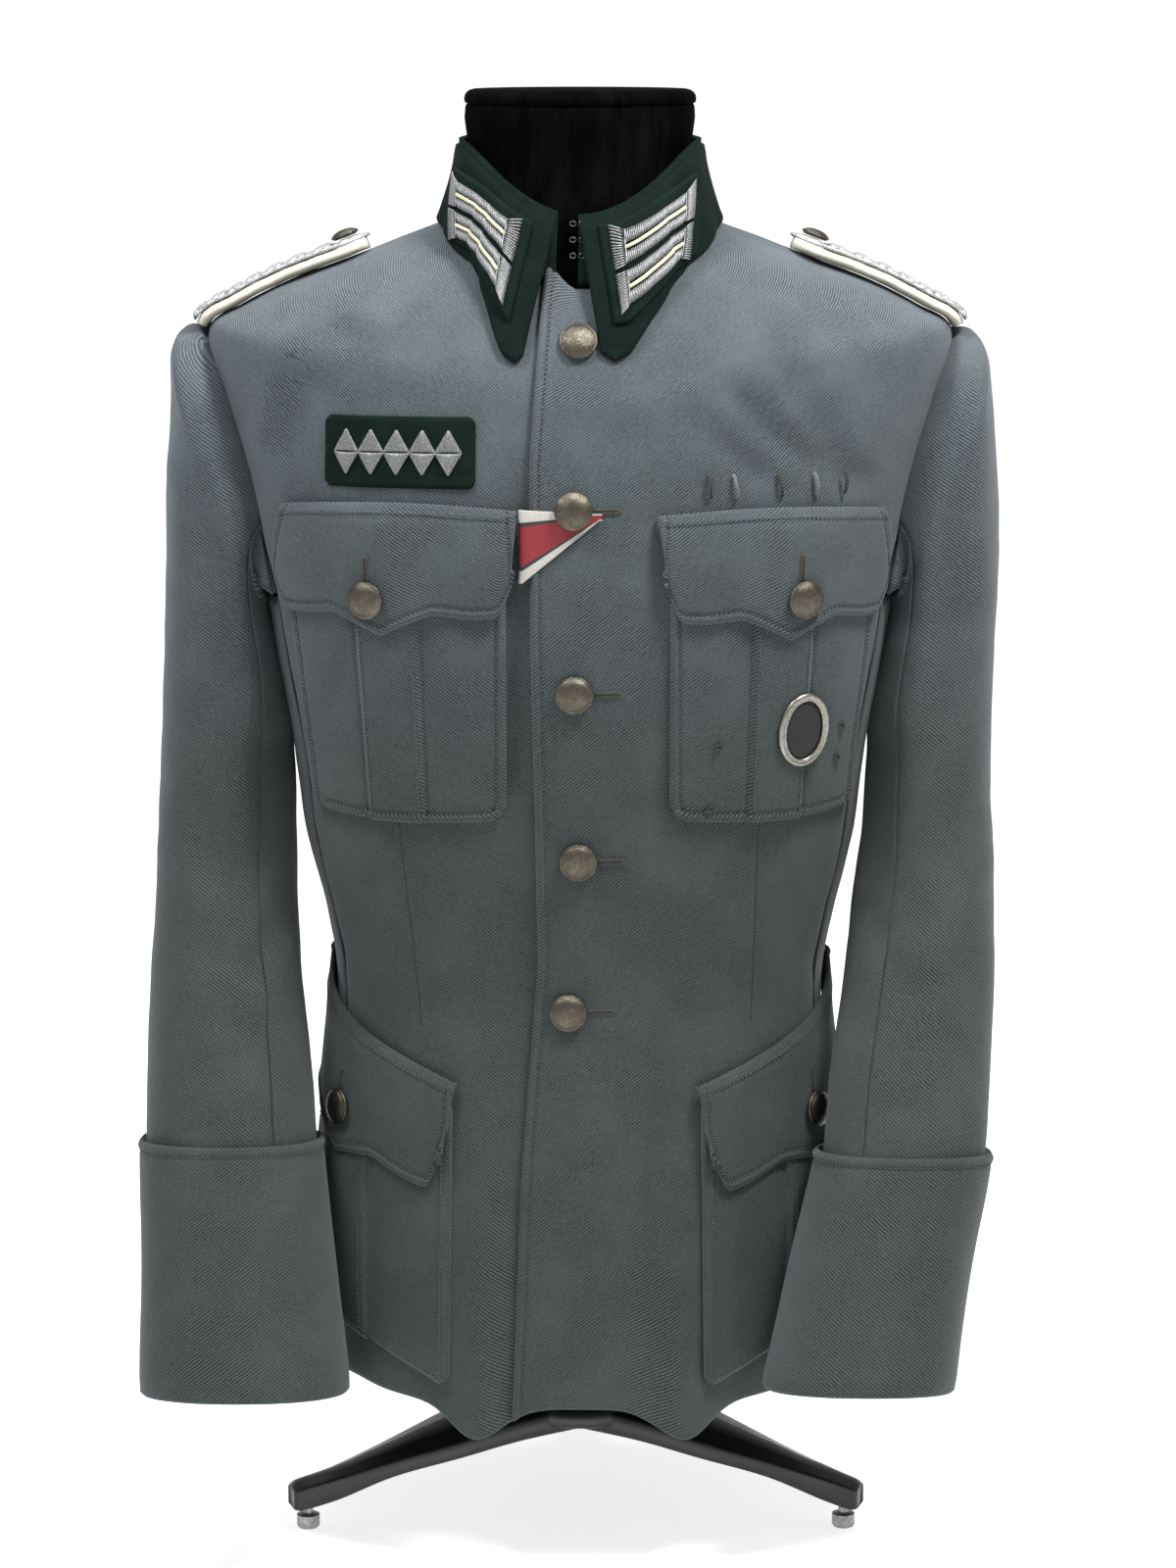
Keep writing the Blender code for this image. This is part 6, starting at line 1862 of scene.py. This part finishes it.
# Cast base: hub and three ridged legs, and its painted pole and glides.
HUB = (
    (0.0385, 0.0588), (0.0400, 0.0586), (0.0465, 0.0596), (0.0480, 0.0612), (0.0478, 0.0660),
    (0.0462, 0.0700), (0.0430, 0.0722), (0.0360, 0.0758), (0.0310, 0.0777), (0.0290, 0.0780),
)
casting = Heap()
q = 2 * math.pi * np.arange(48) / 48
casting.add((np.concatenate([np.stack([r * np.cos(q), r * np.sin(q), z + 0 * q], -1) for r, z in HUB]),
             skin(len(HUB), 48)))
for direction, reach in LEGS:
    a = math.radians(direction)
    along = np.array([math.cos(a), math.sin(a), 0])
    cross = np.array([-math.sin(a), math.cos(a), 0])
    # Distance from the middle, half width, height of foot, shoulder and ridge.
    stations = np.array((
        (0.010, 0.0360, 0.0570, 0.0720, 0.0750), (0.050, 0.0350, 0.0520, 0.0650, 0.0680),
        (0.085, 0.0285, 0.0430, 0.0540, 0.0570), (0.125, 0.0180, 0.0320, 0.0420, 0.0450),
        (0.158, 0.0115, 0.0190, 0.0325, 0.0350), (reach - 0.004, 0.0095, 0.0135, 0.0270, 0.0295),
        (reach, 0.0080, 0.0140, 0.0250, 0.0265)))
    rings = []
    for q in np.concatenate([np.linspace(0, 5, 36), [5.3, 5.6, 5.8, 5.92, 6.0]]):
        r, half, foot, shoulder, ridge = rows_at(stations, q) if q < 5 else [
            np.interp(q, range(7), column) for column in stations.T]
        end = smooth((q - 5.6) / 0.4) * 0.0010
        right_half = ((0.97, foot), (1, foot + 0.0012), (1, shoulder - 0.0015), (0.96, shoulder),
                      (0.86, shoulder + 0.0006), (0.42, ridge - 0.0004), (0.34, ridge))
        left_half = tuple((-b, z) for b, z in right_half[::-1])
        middle = (foot + ridge) / 2
        rings.append([along * (r - (end if q >= 6 else 0)) + cross * b * (half - end)
                      + np.array([0, 0, middle + (z - middle) * (1 - end * 40)])
                      for b, z in left_half[-1:] + right_half + left_half[:-1]])
    rings = np.array(rings)
    casting.add((rings.reshape(-1, 3), skin(*rings.shape[:2])))
casting.piece("stand_base_casting", SATIN, "stand_base", "satin_black")
for name in ("stand_pole", "stand_foot_1", "stand_foot_2", "stand_foot_3"):
    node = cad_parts[name]
    material = POLE if name == "stand_pole" else GLIDE
    if node.material_slots:
        for held in node.material_slots:
            held.material = material
    else:
        node.data.materials.append(material)

for key, heap in THREADS.items():
    finish_piece(mesh_object(f"stitching_{key}", heap.vertices, heap.faces), THREAD)

# Floor with a turned-up rim, light and camera.
FAR, RIM = 6000, 700
floor = bpy.data.meshes.new("floor")
corners = [(-FAR, -FAR), (FAR, -FAR), (FAR, FAR), (-FAR, FAR)]
floor.from_pydata([(x, y, 0) for x, y in corners] + [(x * 1.04, y * 1.04, RIM) for x, y in corners], [],
                  [(0, 1, 2, 3), (0, 1, 5, 4), (1, 2, 6, 5), (2, 3, 7, 6), (3, 0, 4, 7)])
floor_obj = bpy.data.objects.new("floor", floor)
bpy.context.scene.collection.objects.link(floor_obj)
s = Shader("floor_paper", (0.86, 0.86, 0.86), 0.9)
s.main.inputs["Emission Color"].default_value = (1, 1, 1, 1)
s.main.inputs["Emission Strength"].default_value = 0.72
floor.materials.append(s.material)

world = bpy.data.worlds.new("studio")
bpy.context.scene.world = world
world.use_nodes = True
world.node_tree.nodes["Background"].inputs["Color"].default_value = (0.96, 0.97, 1.0, 1)
world.node_tree.nodes["Background"].inputs["Strength"].default_value = 0.40
bpy.context.scene.view_settings.view_transform = "Standard"


def lamp(name, at, aim, size, power, colour=(1, 1, 1)):
    data = bpy.data.lights.new(name, "AREA")
    data.shape, data.size, data.energy, data.color = "SQUARE", size, power, colour
    obj = bpy.data.objects.new(name, data)
    bpy.context.scene.collection.objects.link(obj)
    obj.location = at
    obj.rotation_euler = (Vector(aim) - Vector(at)).to_track_quat("-Z", "Y").to_euler()


lamp("key", (0.56, -0.48, 1.70), (0, -0.05, 0.55), 0.30, 28, (1.0, 0.99, 0.98))
lamp("fill", (-0.60, -0.46, 1.68), (0, -0.05, 0.55), 0.4, 18, (0.95, 0.97, 1.0))
lamp("top", (0.0, 0.40, 1.90), (0, 0, 0.7), 0.8, 9)

eye = bpy.data.cameras.new("camera")
eye.clip_end = 9000
eye.sensor_fit, eye.sensor_height, eye.lens, eye.shift_x = "VERTICAL", 36, 100, 0.005
camera = bpy.data.objects.new("camera", eye)
bpy.context.scene.collection.objects.link(camera)
camera.location = (MOVE[0], -2.6 + MOVE[1], 0.92)
camera.rotation_euler = (math.radians(90 - 10.2), 0, 0)
bpy.context.scene.camera = camera
